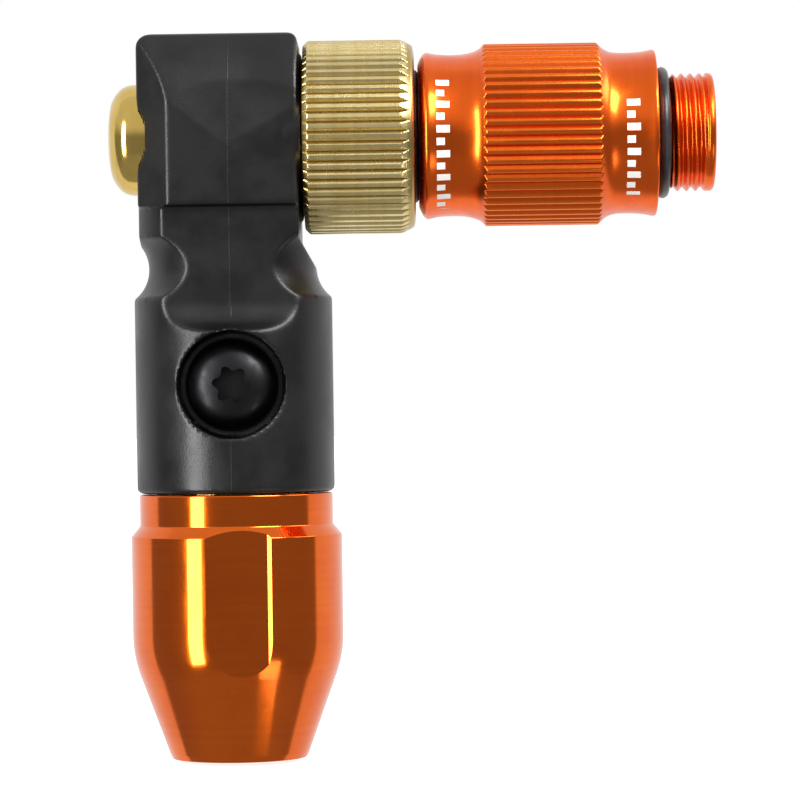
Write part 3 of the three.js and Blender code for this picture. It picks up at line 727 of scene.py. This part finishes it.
def finishPiece(piece, body, finishName, replaced, angle=35):
    smoothShell(piece, angle)
    piece.data.materials.clear()
    piece.data.materials.append(finishes[finishName])
    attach(piece, body)
    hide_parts(*replaced)


def softMin(first, second, blend):
    share = min(max(0.5 + 0.5 * (second - first) / blend, 0), 1)
    return second + (first - second) * share - blend * share * (1 - share)


# moves every vertex to a new distance from the valve's axis
def reshapeRound(piece, newRadius):
    for vertex in piece.data.vertices:
        across = vertex.co.y
        up = vertex.co.z - valveCentre.z
        radius = math.hypot(across, up)
        if radius < 0.000001:
            continue
        wanted = newRadius(radius / mm, vertex.co.x / mm, math.atan2(across, up)) * mm
        vertex.co.y = across * wanted / radius
        vertex.co.z = valveCentre.z + up * wanted / radius


# copies one tooth's sector all the way round the valve's axis
def repeatRound(piece, teeth):
    turn = Matrix.Rotation(fullTurn / teeth, 4, "X")
    bpy.ops.object.empty_add(location=valveCentre - turn @ valveCentre, rotation=(fullTurn / teeth, 0, 0))
    pivot = bpy.context.object
    applyModifier(
        piece, "ARRAY", count=teeth, use_relative_offset=False, use_object_offset=True, offset_object=pivot,
        use_merge_vertices=True, use_merge_vertices_cap=True, merge_threshold=0.000002,
    )
    bpy.data.objects.remove(pivot)
    cleanShell(piece)


# the black moulding, in mm
moulding = {
    "left": -7.6,
    "right": 5.7,
    "foot": 22.07,
    "barrelRadius": 8.22,
    "footRound": 0.45,
    "shoulder": 38.2,
    "waistHeight": 40.7,
    "waistRadius": 6.97,
    "waistTop": 43.2,
    "blockBottom": 45.7,
    "halfDepth": 6.85,
    "leftChamfer": 2.57,
    "rightChamfer": 0.35,
    "topLeftRound": 1.2,
    "topRightRound": 0.8,
    "roofRadius": 12.0,
    "roofCentre": (4.93, 51.9),
    "roofFoot": 54.2,
    "roofEdge": 0.6,
    "slope": [(12, 31.4), (8.32, 38.2), (5.7, 42.9)],
    "leftSlope": [(-7.6, 42.75), (-12, 37.7)],
    "neckFloor": 6.03,
    "rampRadius": 2.5,
    "rampTop": 37.9,
    "scoopFoot": (-0.3, 50.7),
    "scoopHeight": 3.0,
    "scoopHalfAngle": 83.9,
    "scoopOutward": 78.4,
    "scoopLean": 5.0,
    "rampEdge": {"from": 34.5, "to": 38.3, "radius": 7.2, "rounds": 22},
    "wellRadius": 4.4,
    "wellFloor": -5.0,
    "pocketRadius": 4.95,
    "pocketFloor": -4.1,
    "voxel": 0.16,
    "mostTriangles": 150000,
    "bores": [(6.3, 20.0, 26.0), (4.1, 25.5, 36.3), (3.3, 36.0, 51.5)],
    "bossRadius": 6.9,
    "bossEnd": 5.98,
    "tubeBore": 4.8,
    "screwBore": 1.8,
}


def addBar(name, radius, start, end, columns=96):
    start, end = Vector(start), Vector(end)
    deselectAll()
    bpy.ops.mesh.primitive_cylinder_add(
        vertices=columns, radius=radius * mm, depth=(end - start).length * mm, location=(start + end) / 2 * mm,
        rotation=(end - start).to_track_quat("Z", "Y").to_euler(),
    )
    bar = bpy.context.object
    bar.name = name
    bpy.ops.object.transform_apply(location=True, rotation=True, scale=True)
    return bar


# a prism from an outline in two axes, extruded along the third and centred on it
def addPrism(name, outline, depth, along):
    deselectAll()
    bpy.ops.mesh.primitive_plane_add(size=mm, location=(0, 0, 0))
    prism = bpy.context.object
    prism.name = name
    bpy.ops.object.mode_set(mode="EDIT")
    bpy.ops.mesh.select_mode(type="VERT")
    bpy.ops.mesh.select_all(action="SELECT")
    bpy.ops.mesh.merge(type="CENTER")
    spots = [
        Vector((-depth / 2, x, z)) * mm if along == "X" else Vector((x, -depth / 2, z)) * mm
        for x, z in outline
    ]
    bpy.ops.transform.translate(value=spots[0])
    for before, after in zip(spots, spots[1:]):
        bpy.ops.mesh.extrude_vertices_move(TRANSFORM_OT_translate={"value": after - before})
    bpy.ops.mesh.select_all(action="SELECT")
    bpy.ops.mesh.edge_face_add()
    push = Vector((depth, 0, 0)) * mm if along == "X" else Vector((0, depth, 0)) * mm
    bpy.ops.mesh.extrude_region_move(TRANSFORM_OT_translate={"value": push})
    bpy.ops.mesh.select_all(action="SELECT")
    bpy.ops.mesh.normals_make_consistent(inside=False)
    bpy.ops.object.mode_set(mode="OBJECT")
    return prism


def makeBarrel():
    half = (moulding["waistTop"] - moulding["shoulder"]) / 2
    depth = moulding["barrelRadius"] - moulding["waistRadius"]
    arcRadius = (half * half + depth * depth) / (2 * depth)
    waist = []
    for step in range(-10, 11):
        height = half * step / 10
        outward = arcRadius - math.sqrt(arcRadius ** 2 - height ** 2)
        waist.append((moulding["waistRadius"] + outward, moulding["waistHeight"] + height))
    corners = [
        (0, moulding["foot"]),
        (moulding["barrelRadius"], moulding["foot"], moulding["footRound"]),
        *waist,
        (moulding["barrelRadius"], moulding["blockBottom"]),
        (0, moulding["blockBottom"]),
    ]
    return turnPiece("blackMoulding", corners, False, columns=160, closed=False)


def makeBlock():
    low = Vector((moulding["left"], -moulding["halfDepth"], moulding["blockBottom"]))
    high = Vector((moulding["right"], moulding["halfDepth"], bodyHigh.z))
    deselectAll()
    bpy.ops.mesh.primitive_cube_add(size=1, location=(low + high) / 2 * mm)
    block = bpy.context.object
    block.scale = (high - low) * mm
    bpy.ops.object.transform_apply(location=True, rotation=True, scale=True)

    def bevelEdges(chosen, offset, segments):
        bpy.ops.object.mode_set(mode="EDIT")
        bpy.ops.mesh.select_mode(type="EDGE")
        bpy.ops.mesh.select_all(action="DESELECT")
        bpy.ops.object.mode_set(mode="OBJECT")
        for edge in block.data.edges:
            ends = [block.data.vertices[index].co / mm for index in edge.vertices]
            edge.select = chosen(*ends)
        bpy.ops.object.mode_set(mode="EDIT")
        bpy.ops.mesh.bevel(
            offset=offset * mm, segments=segments, affect="EDGES", offset_type="OFFSET", clamp_overlap=False)
        bpy.ops.object.mode_set(mode="OBJECT")

    def upright(side):
        return lambda a, b: abs(a.z - b.z) > 1 and abs(a.x - side) < 0.01 and abs(b.x - side) < 0.01

    bevelEdges(upright(low.x), moulding["leftChamfer"], 1)
    bevelEdges(upright(high.x), moulding["rightChamfer"], 3)
    return block


def makeSlopeLimit():
    high = bodyHigh.z + 1
    outline = [
        (-12, 0), (12, 0), *moulding["slope"], (moulding["right"], high), (moulding["left"], high),
        *moulding["leftSlope"],
    ]
    return addPrism("slopeLimit", outline, 40, "Y")


# rounds the block's top towards its two ends
def makeTopLimit():
    corners = [
        (moulding["left"], moulding["blockBottom"] - 2),
        (moulding["right"], moulding["blockBottom"] - 2),
        (moulding["right"], bodyHigh.z, moulding["topRightRound"]),
        (moulding["left"], bodyHigh.z, moulding["topLeftRound"]),
    ]
    return addPrism("topLimit", [tuple(point) for point in roundOutline(corners, segments=10)], 40, "Y")


# rounds the block's front and back over towards its top
def makeRoofLimit():
    centreY, centreZ = moulding["roofCentre"]
    foot, top, edge = moulding["roofFoot"], bodyHigh.z, moulding["roofEdge"]
    corners = [(moulding["halfDepth"], moulding["blockBottom"] - 2)]
    steps = 24
    for step in range(steps):
        height = foot + (top - foot) * step / steps
        corners.append((math.sqrt(moulding["roofRadius"] ** 2 - (height - centreZ) ** 2) - centreY, height))
    half = math.sqrt(moulding["roofRadius"] ** 2 - (top - centreZ) ** 2) - centreY
    corners.append((half, top, edge))
    corners = [corner for corner in corners if corner[1] < top - 1.2 * edge or len(corner) > 2]
    mirrored = [(-corner[0], *corner[1:]) for corner in reversed(corners)]
    rounded = roundOutline(corners + mirrored, segments=8)
    return addPrism("roofLimit", [tuple(point) for point in rounded], 40, "X")


def makeNeckRecess(side):
    floorY, radius, top = moulding["neckFloor"], moulding["rampRadius"], moulding["rampTop"]
    outline = [(-floorY, moulding["blockBottom"])]
    for step in range(13):
        angle = math.pi / 2 * step / 12
        outline.append((-floorY - radius + radius * math.cos(angle), top - radius * math.sin(angle)))
    outline += [(-14, top - radius), (-14, moulding["blockBottom"])]
    return addPrism("neckRecess", [(y * side, z) for y, z in outline], 30, "X")


# the shallow V-shaped dish, cut by a very flat cone that leans outwards
def makeScoop(side):
    outward, lean = math.radians(moulding["scoopOutward"]), math.radians(moulding["scoopLean"])
    footX, footZ = moulding["scoopFoot"]
    height = moulding["scoopHeight"]
    flat = math.cos(outward)
    axis = Vector((flat * math.sin(lean), -math.sin(outward) * side, flat * math.cos(lean)))
    tip = Vector((footX, -moulding["halfDepth"] * side, footZ))
    deselectAll()
    bpy.ops.mesh.primitive_cone_add(
        vertices=192, radius1=height * math.tan(math.radians(moulding["scoopHalfAngle"])) * mm, radius2=0,
        depth=height * mm, location=(tip + axis * height / 2) * mm,
        rotation=(-axis).to_track_quat("Z", "Y").to_euler(),
    )
    cone = bpy.context.object
    bpy.ops.object.transform_apply(location=True, rotation=True, scale=True)
    return cone


# rounds the edge where the neck's ramp comes out of the barrel
def softenRampEdge(body):
    edge = moulding["rampEdge"]
    near = [
        vertex.index for vertex in body.data.vertices
        if edge["from"] < vertex.co.z / mm < edge["to"]
        and math.hypot(vertex.co.x, vertex.co.y) / mm > edge["radius"]
        and abs(vertex.co.y) > abs(vertex.co.x) * 0.6
    ]
    group = body.vertex_groups.new(name="rampEdge")
    group.add(near, 1.0, "REPLACE")
    applyModifier(body, "SMOOTH", factor=0.5, iterations=edge["rounds"], vertex_group="rampEdge")
    body.vertex_groups.clear()


def makeMoulding():
    body = makeBarrel()
    cutWith(body, makeSlopeLimit(), "INTERSECT")
    block = makeBlock()
    cutWith(block, makeTopLimit(), "INTERSECT")
    cutWith(block, makeRoofLimit(), "INTERSECT")
    cutWith(body, block, "UNION")
    for side in (1, -1):
        cutWith(body, makeNeckRecess(side))
        cutWith(body, makeScoop(side))
    screwHeight = (screwLow.z + screwHigh.z) / 2
    wellFoot = (0, moulding["wellFloor"], screwHeight)
    cutWith(body, addBar("well", moulding["wellRadius"], (0, -12, screwHeight), wellFoot))
    pocket = addBar(
        "pocket", moulding["pocketRadius"], (bodyLow.x - 3, 0, valveHeight), (moulding["pocketFloor"], 0, valveHeight))
    cutWith(body, pocket)
    boss = addBar(
        "boss", moulding["bossRadius"], (moulding["right"] - 1, 0, valveHeight), (moulding["bossEnd"], 0, valveHeight))
    cutWith(body, boss, "UNION")
    applyModifier(body, "REMESH", mode="VOXEL", voxel_size=moulding["voxel"] * mm, adaptivity=0.0)
    applyModifier(body, "SMOOTH", factor=0.5, iterations=5)
    softenRampEdge(body)
    triangles = sum(len(face.vertices) - 2 for face in body.data.polygons)
    print("moulding after remesh:", triangles, "triangles")
    if triangles > moulding["mostTriangles"]:
        applyModifier(body, "DECIMATE", ratio=moulding["mostTriangles"] / triangles)
    for radius, foot, top in moulding["bores"]:
        cutWith(body, addBar("bore", radius, (0, 0, foot), (0, 0, top), columns=64))
    tubeStart = (moulding["pocketFloor"] - 1, 0, valveHeight)
    cutWith(body, addBar("tubeBore", moulding["tubeBore"], tubeStart, (8, 0, valveHeight), columns=64))
    cutWith(body, addBar("screwBore", moulding["screwBore"], (0, -12, screwHeight), (0, -3, screwHeight), columns=48))
    finishPiece(body, "head", "blackNylon", ["body_moulding"], angle=40)


makeMoulding()
print("moulding ready")


# the cartridge cup, in mm
cup = {
    "mouthRadius": 5.62,
    "coneFootRadius": 5.84,
    "coneFoot": 0.5,
    "coneTop": 8.52,
    "radius": 8.78,
    "shoulderFoot": 18.5,
    "shoulderTop": 19.4,
    "bandRadius": 8.05,
    "boreRadius": 4.76,
    "boreDepth": 11.0,
    "noseRadius": 6.6,
    "threadPitch": 1.058,
    "threadDepth": 0.5,
    "threadFrom": 0.9,
    "threadTo": 9.6,
    "flatDistance": 8.28,
    "flatTurn": 4.5,
    "flatEnd": 2.15,  # where the flat's sloping end wall starts, from the middle of the flat
    "wallWidth": 0.42,
    "wallRise": 0.19,
}


# cuts the cartridge's thread into the bore, as ridges that stand inwards along a helix
def threadBore(piece):
    for vertex in piece.data.vertices:
        radius = math.hypot(vertex.co.x, vertex.co.y) / mm
        height = vertex.co.z / mm
        if abs(radius - cup["boreRadius"]) > 0.02 or not cup["threadFrom"] < height < cup["threadTo"]:
            continue
        angle = math.atan2(vertex.co.y, vertex.co.x) / fullTurn
        phase = (height / cup["threadPitch"] - angle) % 1
        ridge = min(max(1.35 - abs(phase - 0.5) * 4, 0), 1)
        fade = min((height - cup["threadFrom"]) / 0.5, (cup["threadTo"] - height) / 0.5, 1)
        wanted = (cup["boreRadius"] - cup["threadDepth"] * ridge * fade) / radius
        vertex.co.x *= wanted
        vertex.co.y *= wanted


def makeCup():
    top = cupHigh.z
    corners = [
        (cup["boreRadius"] + 0.4, cupLow.z),
        (cup["mouthRadius"], cupLow.z, 0.12),
        (cup["coneFootRadius"], cup["coneFoot"], 0.4),
        (cup["radius"], cup["coneTop"], 10.0),
        (cup["radius"], cup["shoulderFoot"], 0.12),
        (cup["bandRadius"], cup["shoulderTop"], 0.2),
        (cup["bandRadius"], top, 0.15),
        (cup["noseRadius"], top, 0.1),
        (cup["noseRadius"], cup["boreDepth"], 0.1),
        (cup["boreRadius"], cup["boreDepth"]),
        (cup["boreRadius"], 0.5),
    ]
    points = roundOutline(corners, segments=8)
    points.append(points[0].copy())
    fine = []
    for point, following in zip(points, points[1:]):
        fine.append(point)
        if abs(point.x - cup["boreRadius"]) < 0.01 and abs(following.x - cup["boreRadius"]) < 0.01:
            pieces = 100
            fine.extend(point.lerp(following, step / pieces) for step in range(1, pieces))
    fine.append(points[-1])
    piece = drawOutline("amberCup", fine, False)
    spinOutline(piece, False, 144)
    cleanShell(piece)
    threadBore(piece)
    turn = math.radians(cup["flatTurn"])
    depth, end = cup["flatDistance"], cup["flatEnd"]
    wallEnd, wallTop = end + cup["wallWidth"], depth + cup["wallRise"]
    outline = [(-12, depth), (end, depth), (wallEnd, wallTop), (wallEnd, 20), (-12, 20)]
    for half in (0, math.pi):
        tool = addPrism("flat", outline, 40, "Y")
        makeActive(tool)
        tool.rotation_euler = (math.pi / 2, 0, turn + half)
        tool.location = Vector((0, 0, 20)) * mm
        bpy.ops.object.transform_apply(location=True, rotation=True, scale=True)
        cutWith(piece, tool)
    finishPiece(piece, "head", "amberAnodised", ["cartridge_cup"], angle=12)


makeCup()
print("cup ready")


# the knurled collar, in mm
collar = {
    "teeth": 60,
    "columns": 12,
    "root": 7.72,
    "crestShare": 0.4,  # how much of a tooth is flat, measured from its middle
    "tubeBore": 4.8,
    "tubeBoreEnd": 10.5,
    "threadBore": 5.2,
    "ringBore": 5.7,
    "ringBoreStart": 14.2,
}


def toothHeight(angle, teeth, crestShare, root, tip):
    phase = abs((angle * teeth / fullTurn) % 1 - 0.5) * 2  # 0 at the middle of a tooth, 1 in the valley
    fall = max(0.0, (phase - crestShare) / (1 - crestShare))
    return tip - (tip - root) * fall


def makeCollar():
    left, right = collarLow.x, collarHigh.x
    tip = (collarHigh.z - collarLow.z) / 2
    corners = [
        (collar["tubeBore"], left),
        (tip - 0.42, left, 0.1),
        (tip, left + 0.42, 0.25),
        (tip, right - 1.15, 0.9),
        (tip - 0.5, right - 0.12, 0.45),
        (tip - 1.2, right, 0.3),
        (collar["ringBore"], right, 0.12),
        (collar["ringBore"], collar["ringBoreStart"]),
        (collar["threadBore"], collar["ringBoreStart"]),
        (collar["threadBore"], collar["tubeBoreEnd"]),
        (collar["tubeBore"], collar["tubeBoreEnd"]),
    ]
    points = roundOutline(corners, segments=10)
    points.append(points[0].copy())
    points = refineOutline(points, 0.09, (right - 1.7, right - 0.25))
    piece = drawOutline("knurledCollar", points, True)
    spinOutline(piece, True, collar["columns"], fullTurn / collar["teeth"])

    def knurl(radius, along, angle):
        if radius < collar["root"] - 0.3:
            return radius
        tooth = toothHeight(angle, collar["teeth"], collar["crestShare"], collar["root"], tip)
        return softMin(radius, tooth, 0.03)

    reshapeRound(piece, knurl)
    repeatRound(piece, collar["teeth"])
    finishPiece(piece, "head", "paleBrass", ["knurled_collar"], angle=28)


makeCollar()
print("collar ready")


# the reversible chuck, in mm
chuck = {
    "teeth": 57,
    "columns": 12,
    "tip": 7.58,
    "root": 7.33,
    "crestShare": 0.22,
    "leftFace": 15.6,
    "rightFace": 35.3,
    "groove": 4.4,
    "thread": 4.9,
    "threadRoot": 4.56,
    "threadPitch": 0.75,
    "threadStart": 36.4,
    "narrowBore": 2.65,
    "wideBore": 3.85,
    "passage": 1.0,
    "narrowPocket": (3.2, 31.5, 33.2),
    "widePocket": (5.0, 17.5, 19.1),
    "pinChamber": (3.0, 22.0),
    # the outside between the two faces: distance along the axis, and radius
    "outside": [
        (15.6, 5.9), (15.78, 6.34), (16.0, 6.72), (16.22, 6.89), (16.42, 6.91), (16.7, 6.85), (17.1, 6.77),
        (17.7, 6.72), (18.5, 6.7), (19.2, 6.73), (19.8, 6.82), (20.3, 6.96), (20.7, 7.16), (20.95, 7.36),
        (21.1, 7.52), (21.2, 7.58), (30.38, 7.58), (30.5, 7.52), (30.66, 7.36), (30.9, 7.14), (31.2, 6.93),
        (31.6, 6.77), (32.1, 6.69), (32.9, 6.67), (33.6, 6.7), (34.2, 6.76), (34.7, 6.85), (35.0, 6.91),
        (35.18, 6.9), (35.28, 6.82), (35.3, 6.66),
    ],
}


def makeChuckGrip():
    narrow, wide, chamber = chuck["narrowPocket"], chuck["widePocket"], chuck["pinChamber"]
    joint = chuck["threadStart"] - 0.1
    outside = [Vector((radius, along)) for along, radius in chuck["outside"]]
    before = [
        Vector((chuck["wideBore"], chuckLow.x)), Vector((chuck["thread"] - 0.5, chuckLow.x)),
        Vector((chuck["thread"], chuckLow.x + 0.5)), Vector((chuck["thread"], 14.55)),
        Vector((chuck["groove"], 14.55)), Vector((chuck["groove"], chuck["leftFace"])),
    ]
    after = [
        Vector((chuck["groove"], chuck["rightFace"])), Vector((chuck["groove"], joint)),
        Vector((chuck["narrowBore"], joint)), Vector((chuck["narrowBore"], narrow[2])),
        Vector((narrow[0], narrow[2])), Vector((narrow[0], narrow[1])), Vector((chuck["passage"], narrow[1])),
        Vector((chuck["passage"], chamber[1])), Vector((chamber[0], chamber[1])), Vector((chamber[0], wide[2])),
        Vector((wide[0], wide[2])), Vector((wide[0], wide[1])), Vector((chuck["wideBore"], wide[1])),
        Vector((chuck["wideBore"], chuckLow.x)),
    ]
    smooth = smoothCurve(outside, 3)
    points = before + smooth + after
    piece = drawOutline("chuckGrip", points, True)
    spinOutline(piece, True, chuck["columns"], fullTurn / chuck["teeth"])

    def knurl(radius, along, angle):
        if radius < chuck["root"] - 0.1:
            return radius
        tooth = toothHeight(angle, chuck["teeth"], chuck["crestShare"], chuck["root"], chuck["tip"])
        return softMin(radius, tooth, 0.05)

    reshapeRound(piece, knurl)
    repeatRound(piece, chuck["teeth"])
    finishPiece(piece, "chuck", "redAnodised", ["twin_chuck"], angle=30)


def makeChuckThread():
    start, end = chuck["threadStart"] - 0.1, chuckHigh.x
    corners = [
        (chuck["groove"], start),
        (chuck["groove"], start + 0.12),
        (chuck["thread"], start + 0.5),
        (chuck["thread"], end, 0.35),
        (chuck["narrowBore"] + 0.35, end, 0.08),
        (chuck["narrowBore"], end - 0.35),
        (chuck["narrowBore"], start),
    ]
    points = roundOutline(corners, segments=6)
    points.append(points[0].copy())
    points = refineOutline(points, 0.055)
    piece = drawOutline("chuckThread", points, True)
    spinOutline(piece, True, 144)
    cleanShell(piece)
    depth = chuck["thread"] - chuck["threadRoot"]

    def thread(radius, along, angle):
        phase = (along / chuck["threadPitch"] + angle / fullTurn) % 1
        away = abs(phase - 0.5) * 2
        groove = chuck["threadRoot"] + depth * min(max((away * 1.25 - 0.12), 0), 1)
        if radius > 4.0:
            landing = min(max((along - (end - 0.75)) / 0.25, 0), 1)
            return softMin(radius, groove + (chuck["thread"] + 0.1 - groove) * landing, 0.05)
        if radius < chuck["narrowBore"] + 0.02 and along < end - 0.4:
            return radius - 0.22 * min(max(1.2 - abs(phase - 0.5) * 4, 0), 1)
        return radius

    reshapeRound(piece, thread)
    finishPiece(piece, "chuck", "redAnodised", ["twin_chuck"], angle=50)


makeChuckGrip()
makeChuckThread()
print("chuck ready")


# the thumb button, in mm
button = {
    "skirtInner": 3.4,
    "hub": 1.9,
    "rimHeight": 2.15,
    # the dome: how far behind the crown, and radius
    "dome": [
        (0, 0), (0.008, 0.6), (0.03, 1.2), (0.13, 2.2), (0.31, 3.12), (0.64, 3.75),
        (1.14, 4.29), (1.64, 4.54), (2.15, 4.63),
    ],
}


def makeButton():
    crown, skirtEnd = buttonLow.x, buttonHigh.x
    radius = (buttonHigh.z - buttonLow.z) / 2
    rim = crown + button["rimHeight"]
    dome = smoothCurve([Vector((out, crown + behind)) for behind, out in button["dome"]], 6)
    corners = [
        *[tuple(point) for point in dome],
        (radius, skirtEnd, 0.15),
        (button["skirtInner"], skirtEnd, 0.1),
        (button["skirtInner"], rim),
        (button["hub"], rim),
        (button["hub"], skirtEnd - 0.2),
        (1.1, skirtEnd - 0.2),
        (1.1, crown + 1.15),
        (0, crown + 1.15),
    ]
    piece = turnPiece("thumbButton", corners, True, columns=128, closed=False)
    finishPiece(piece, "button", "goldenBrass", ["thumb_button"], angle=40)


makeButton()
print("button ready")


# the star-socket screw, in mm
screw = {
    "headRadius": 3.8,
    "seat": -5.2,
    "shank": 1.5,
    "starTurn": 38,
    # the dome: share of the head's radius, and depth behind the crown
    "dome": [
        (0, 0), (0.15, 0.012), (0.3, 0.05), (0.45, 0.14), (0.6, 0.3), (0.72, 0.52),
        (0.82, 0.84), (0.9, 1.2), (0.96, 1.55), (1, 1.9),
    ],
    "lobes": 6,
    "lobeTip": 1.58,
    "lobeRoot": 1.15,
    "socketDepth": 1.0,
}


def makeScrew():
    height = (screwLow.z + screwHigh.z) / 2
    crown, seat, end = screwLow.y, screw["seat"], screwHigh.y
    head = screw["headRadius"]
    dome = smoothCurve([Vector((head * share, crown + behind)) for share, behind in screw["dome"]], 3)
    corners = [
        *[tuple(point) for point in dome],
        (head, seat, 0.08),
        (screw["shank"], seat),
        (screw["shank"], end - 0.2),
        (screw["shank"] - 0.2, end),
        (0, end),
    ]
    points = roundOutline(corners, closed=False)
    piece = drawOutline("starScrew", points, False)
    spinOutline(piece, False, 96)
    cleanShell(piece)
    makeActive(piece)
    piece.rotation_euler = (-math.pi / 2, 0, 0)
    piece.location = Vector((0, 0, height)) * mm
    bpy.ops.object.transform_apply(location=True, rotation=True, scale=True)
    outline = []
    steps = screw["lobes"] * 12
    middle = (screw["lobeTip"] + screw["lobeRoot"]) / 2
    swing = (screw["lobeTip"] - screw["lobeRoot"]) / 2
    for step in range(steps):
        angle = fullTurn * step / steps
        wave = math.cos(screw["lobes"] * angle)
        radius = middle + swing * math.copysign(abs(wave) ** 0.8, wave)
        around = angle + math.radians(screw["starTurn"])
        outline.append((radius * math.sin(around), height + radius * math.cos(around)))
    socket = addPrism("socket", outline, 2 * screw["socketDepth"], "Y")
    socket.data.transform(Matrix.Translation((0, crown * mm, 0)))
    cutWith(piece, socket)
    finishPiece(piece, "head", "blackOxide", ["body_screw"], angle=30)


makeScrew()
print("screw ready")


# each ring: mean radius, half its section, where it is along its axis, and the piece it rides with
rings = {
    "chuckOuterRing": {
        "mean": 4.95, "section": 0.5, "at": 35.87, "body": "chuck", "node": "chuck_outer_oring",
    },
    "chuckInnerRing": {
        "mean": 5.12, "section": 0.44, "at": 15.18, "body": "chuck_carriage", "node": "chuck_inner_oring",
    },
}


def makeRing(name, mean, section, at, body, node):
    deselectAll()
    bpy.ops.mesh.primitive_torus_add(
        major_radius=mean * mm, minor_radius=section * mm, major_segments=144, minor_segments=28,
        location=Vector((at, 0, valveHeight)) * mm, rotation=(0, math.pi / 2, 0),
    )
    ring = bpy.context.object
    ring.name = name
    bpy.ops.object.transform_apply(location=True, rotation=True, scale=True)
    # the mould's flash stands a hair proud round the outside
    for vertex in ring.data.vertices:
        lift = 0.02 * max(0.0, 1 - abs(vertex.co.x / mm - at) / 0.07)
        flat = Vector((0, vertex.co.y, vertex.co.z - valveCentre.z))
        if flat.length > mean * mm:
            vertex.co += flat.normalized() * lift * mm
    finishPiece(ring, body, "blackNitrile", [node], angle=60)


for ringName, values in rings.items():
    makeRing(ringName, **values)

# turned pieces seen through the two openings: corners, axis, body, slot, finish and the node each one stands for
innerPieces = {
    "piercePin": {
        "corners": [(0.4, 15.7), (0.4, 9.6), (0.65, 9.4), (1.15, 11.5, 0.2), (1.3, 12.4, 0.2), (1.3, 15.7)],
        "onValve": False, "body": "head", "slot": "steel", "finish": "turnedSteel", "node": "pierce_pin",
    },
    "pierceSeal": {
        "corners": [(1.6, 11.3, 0.15), (4.3, 11.3, 0.2), (4.3, 12.3, 0.2), (1.6, 12.3, 0.15)],
        "onValve": False, "body": "head", "slot": "seal_rubber", "finish": "blackNitrile", "node": "pierce_seal",
    },
    "narrowSeal": {
        "corners": [(1.2, 31.8, 0.1), (2.9, 31.8, 0.2), (2.9, 33, 0.2), (1.9, 33, 0.1), (1.2, 32.7, 0.1)],
        "onValve": True, "body": "chuck", "slot": "seal_rubber", "finish": "blackNitrile", "node": "narrow_valve_seal",
    },
}

for pieceName, values in innerPieces.items():
    innerPiece = turnPiece(pieceName, values["corners"], values["onValve"], columns=64)
    finishPiece(innerPiece, values["body"], values["finish"], [values["node"]], angle=40)
print("seals ready")


# the return spring, in mm
spring = {"radius": 2.1, "wire": 0.2, "start": 5.35, "end": 8.95, "turns": 4, "pressed": 0.389}


def makeSpring():
    deselectAll()
    bpy.ops.mesh.primitive_circle_add(
        vertices=12, radius=spring["wire"] * mm, rotation=(math.pi / 2, 0, 0),
        location=Vector((spring["start"] + spring["wire"], 0, valveHeight + spring["radius"])) * mm,
    )
    coil = bpy.context.object
    coil.name = "returnSpring"
    bpy.ops.object.transform_apply(location=True, rotation=True, scale=True)
    pitch = (spring["end"] - spring["start"] - 2 * spring["wire"]) / spring["turns"]
    bpy.ops.object.empty_add(location=valveCentre)
    pivot = bpy.context.object
    applyModifier(
        coil, "SCREW", axis="X", object=pivot, angle=fullTurn, steps=40, render_steps=40,
        screw_offset=pitch * mm, iterations=spring["turns"], use_merge_vertices=True, merge_threshold=0.000001,
    )
    bpy.data.objects.remove(pivot)
    editAll(coil)
    bpy.ops.mesh.fill_holes(sides=12)
    bpy.ops.mesh.select_all(action="SELECT")
    bpy.ops.mesh.normals_make_consistent(inside=False)
    bpy.ops.object.mode_set(mode="OBJECT")
    finishPiece(coil, "head", "turnedSteel", ["return_spring"], angle=50)
    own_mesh(coil)


makeSpring()
print("spring ready")


# the pieces that keep their CAD shape, by finish
carriedOver = {
    "plainBrass": ["core_stem", "valve_barrel", "button_bush", "spring_retainer", "poppet", "valve_core_depressor"],
    "blackNitrile": [
        "stem_oring_lower", "stem_oring_upper", "cup_oring", "barrel_oring_left", "barrel_oring_right",
        "plunger_oring", "poppet_seal", "wide_valve_seal",
    ],
    "turnedSteel": ["plunger_stem", "poppet_circlip"],
    "whiteAcetal": ["valve_seat"],
}
for finishName, nodeNames in carriedOver.items():
    for nodeName in nodeNames:
        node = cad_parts[nodeName]
        node.data.materials.clear()
        node.data.materials.append(finishes[finishName])

deselectAll()
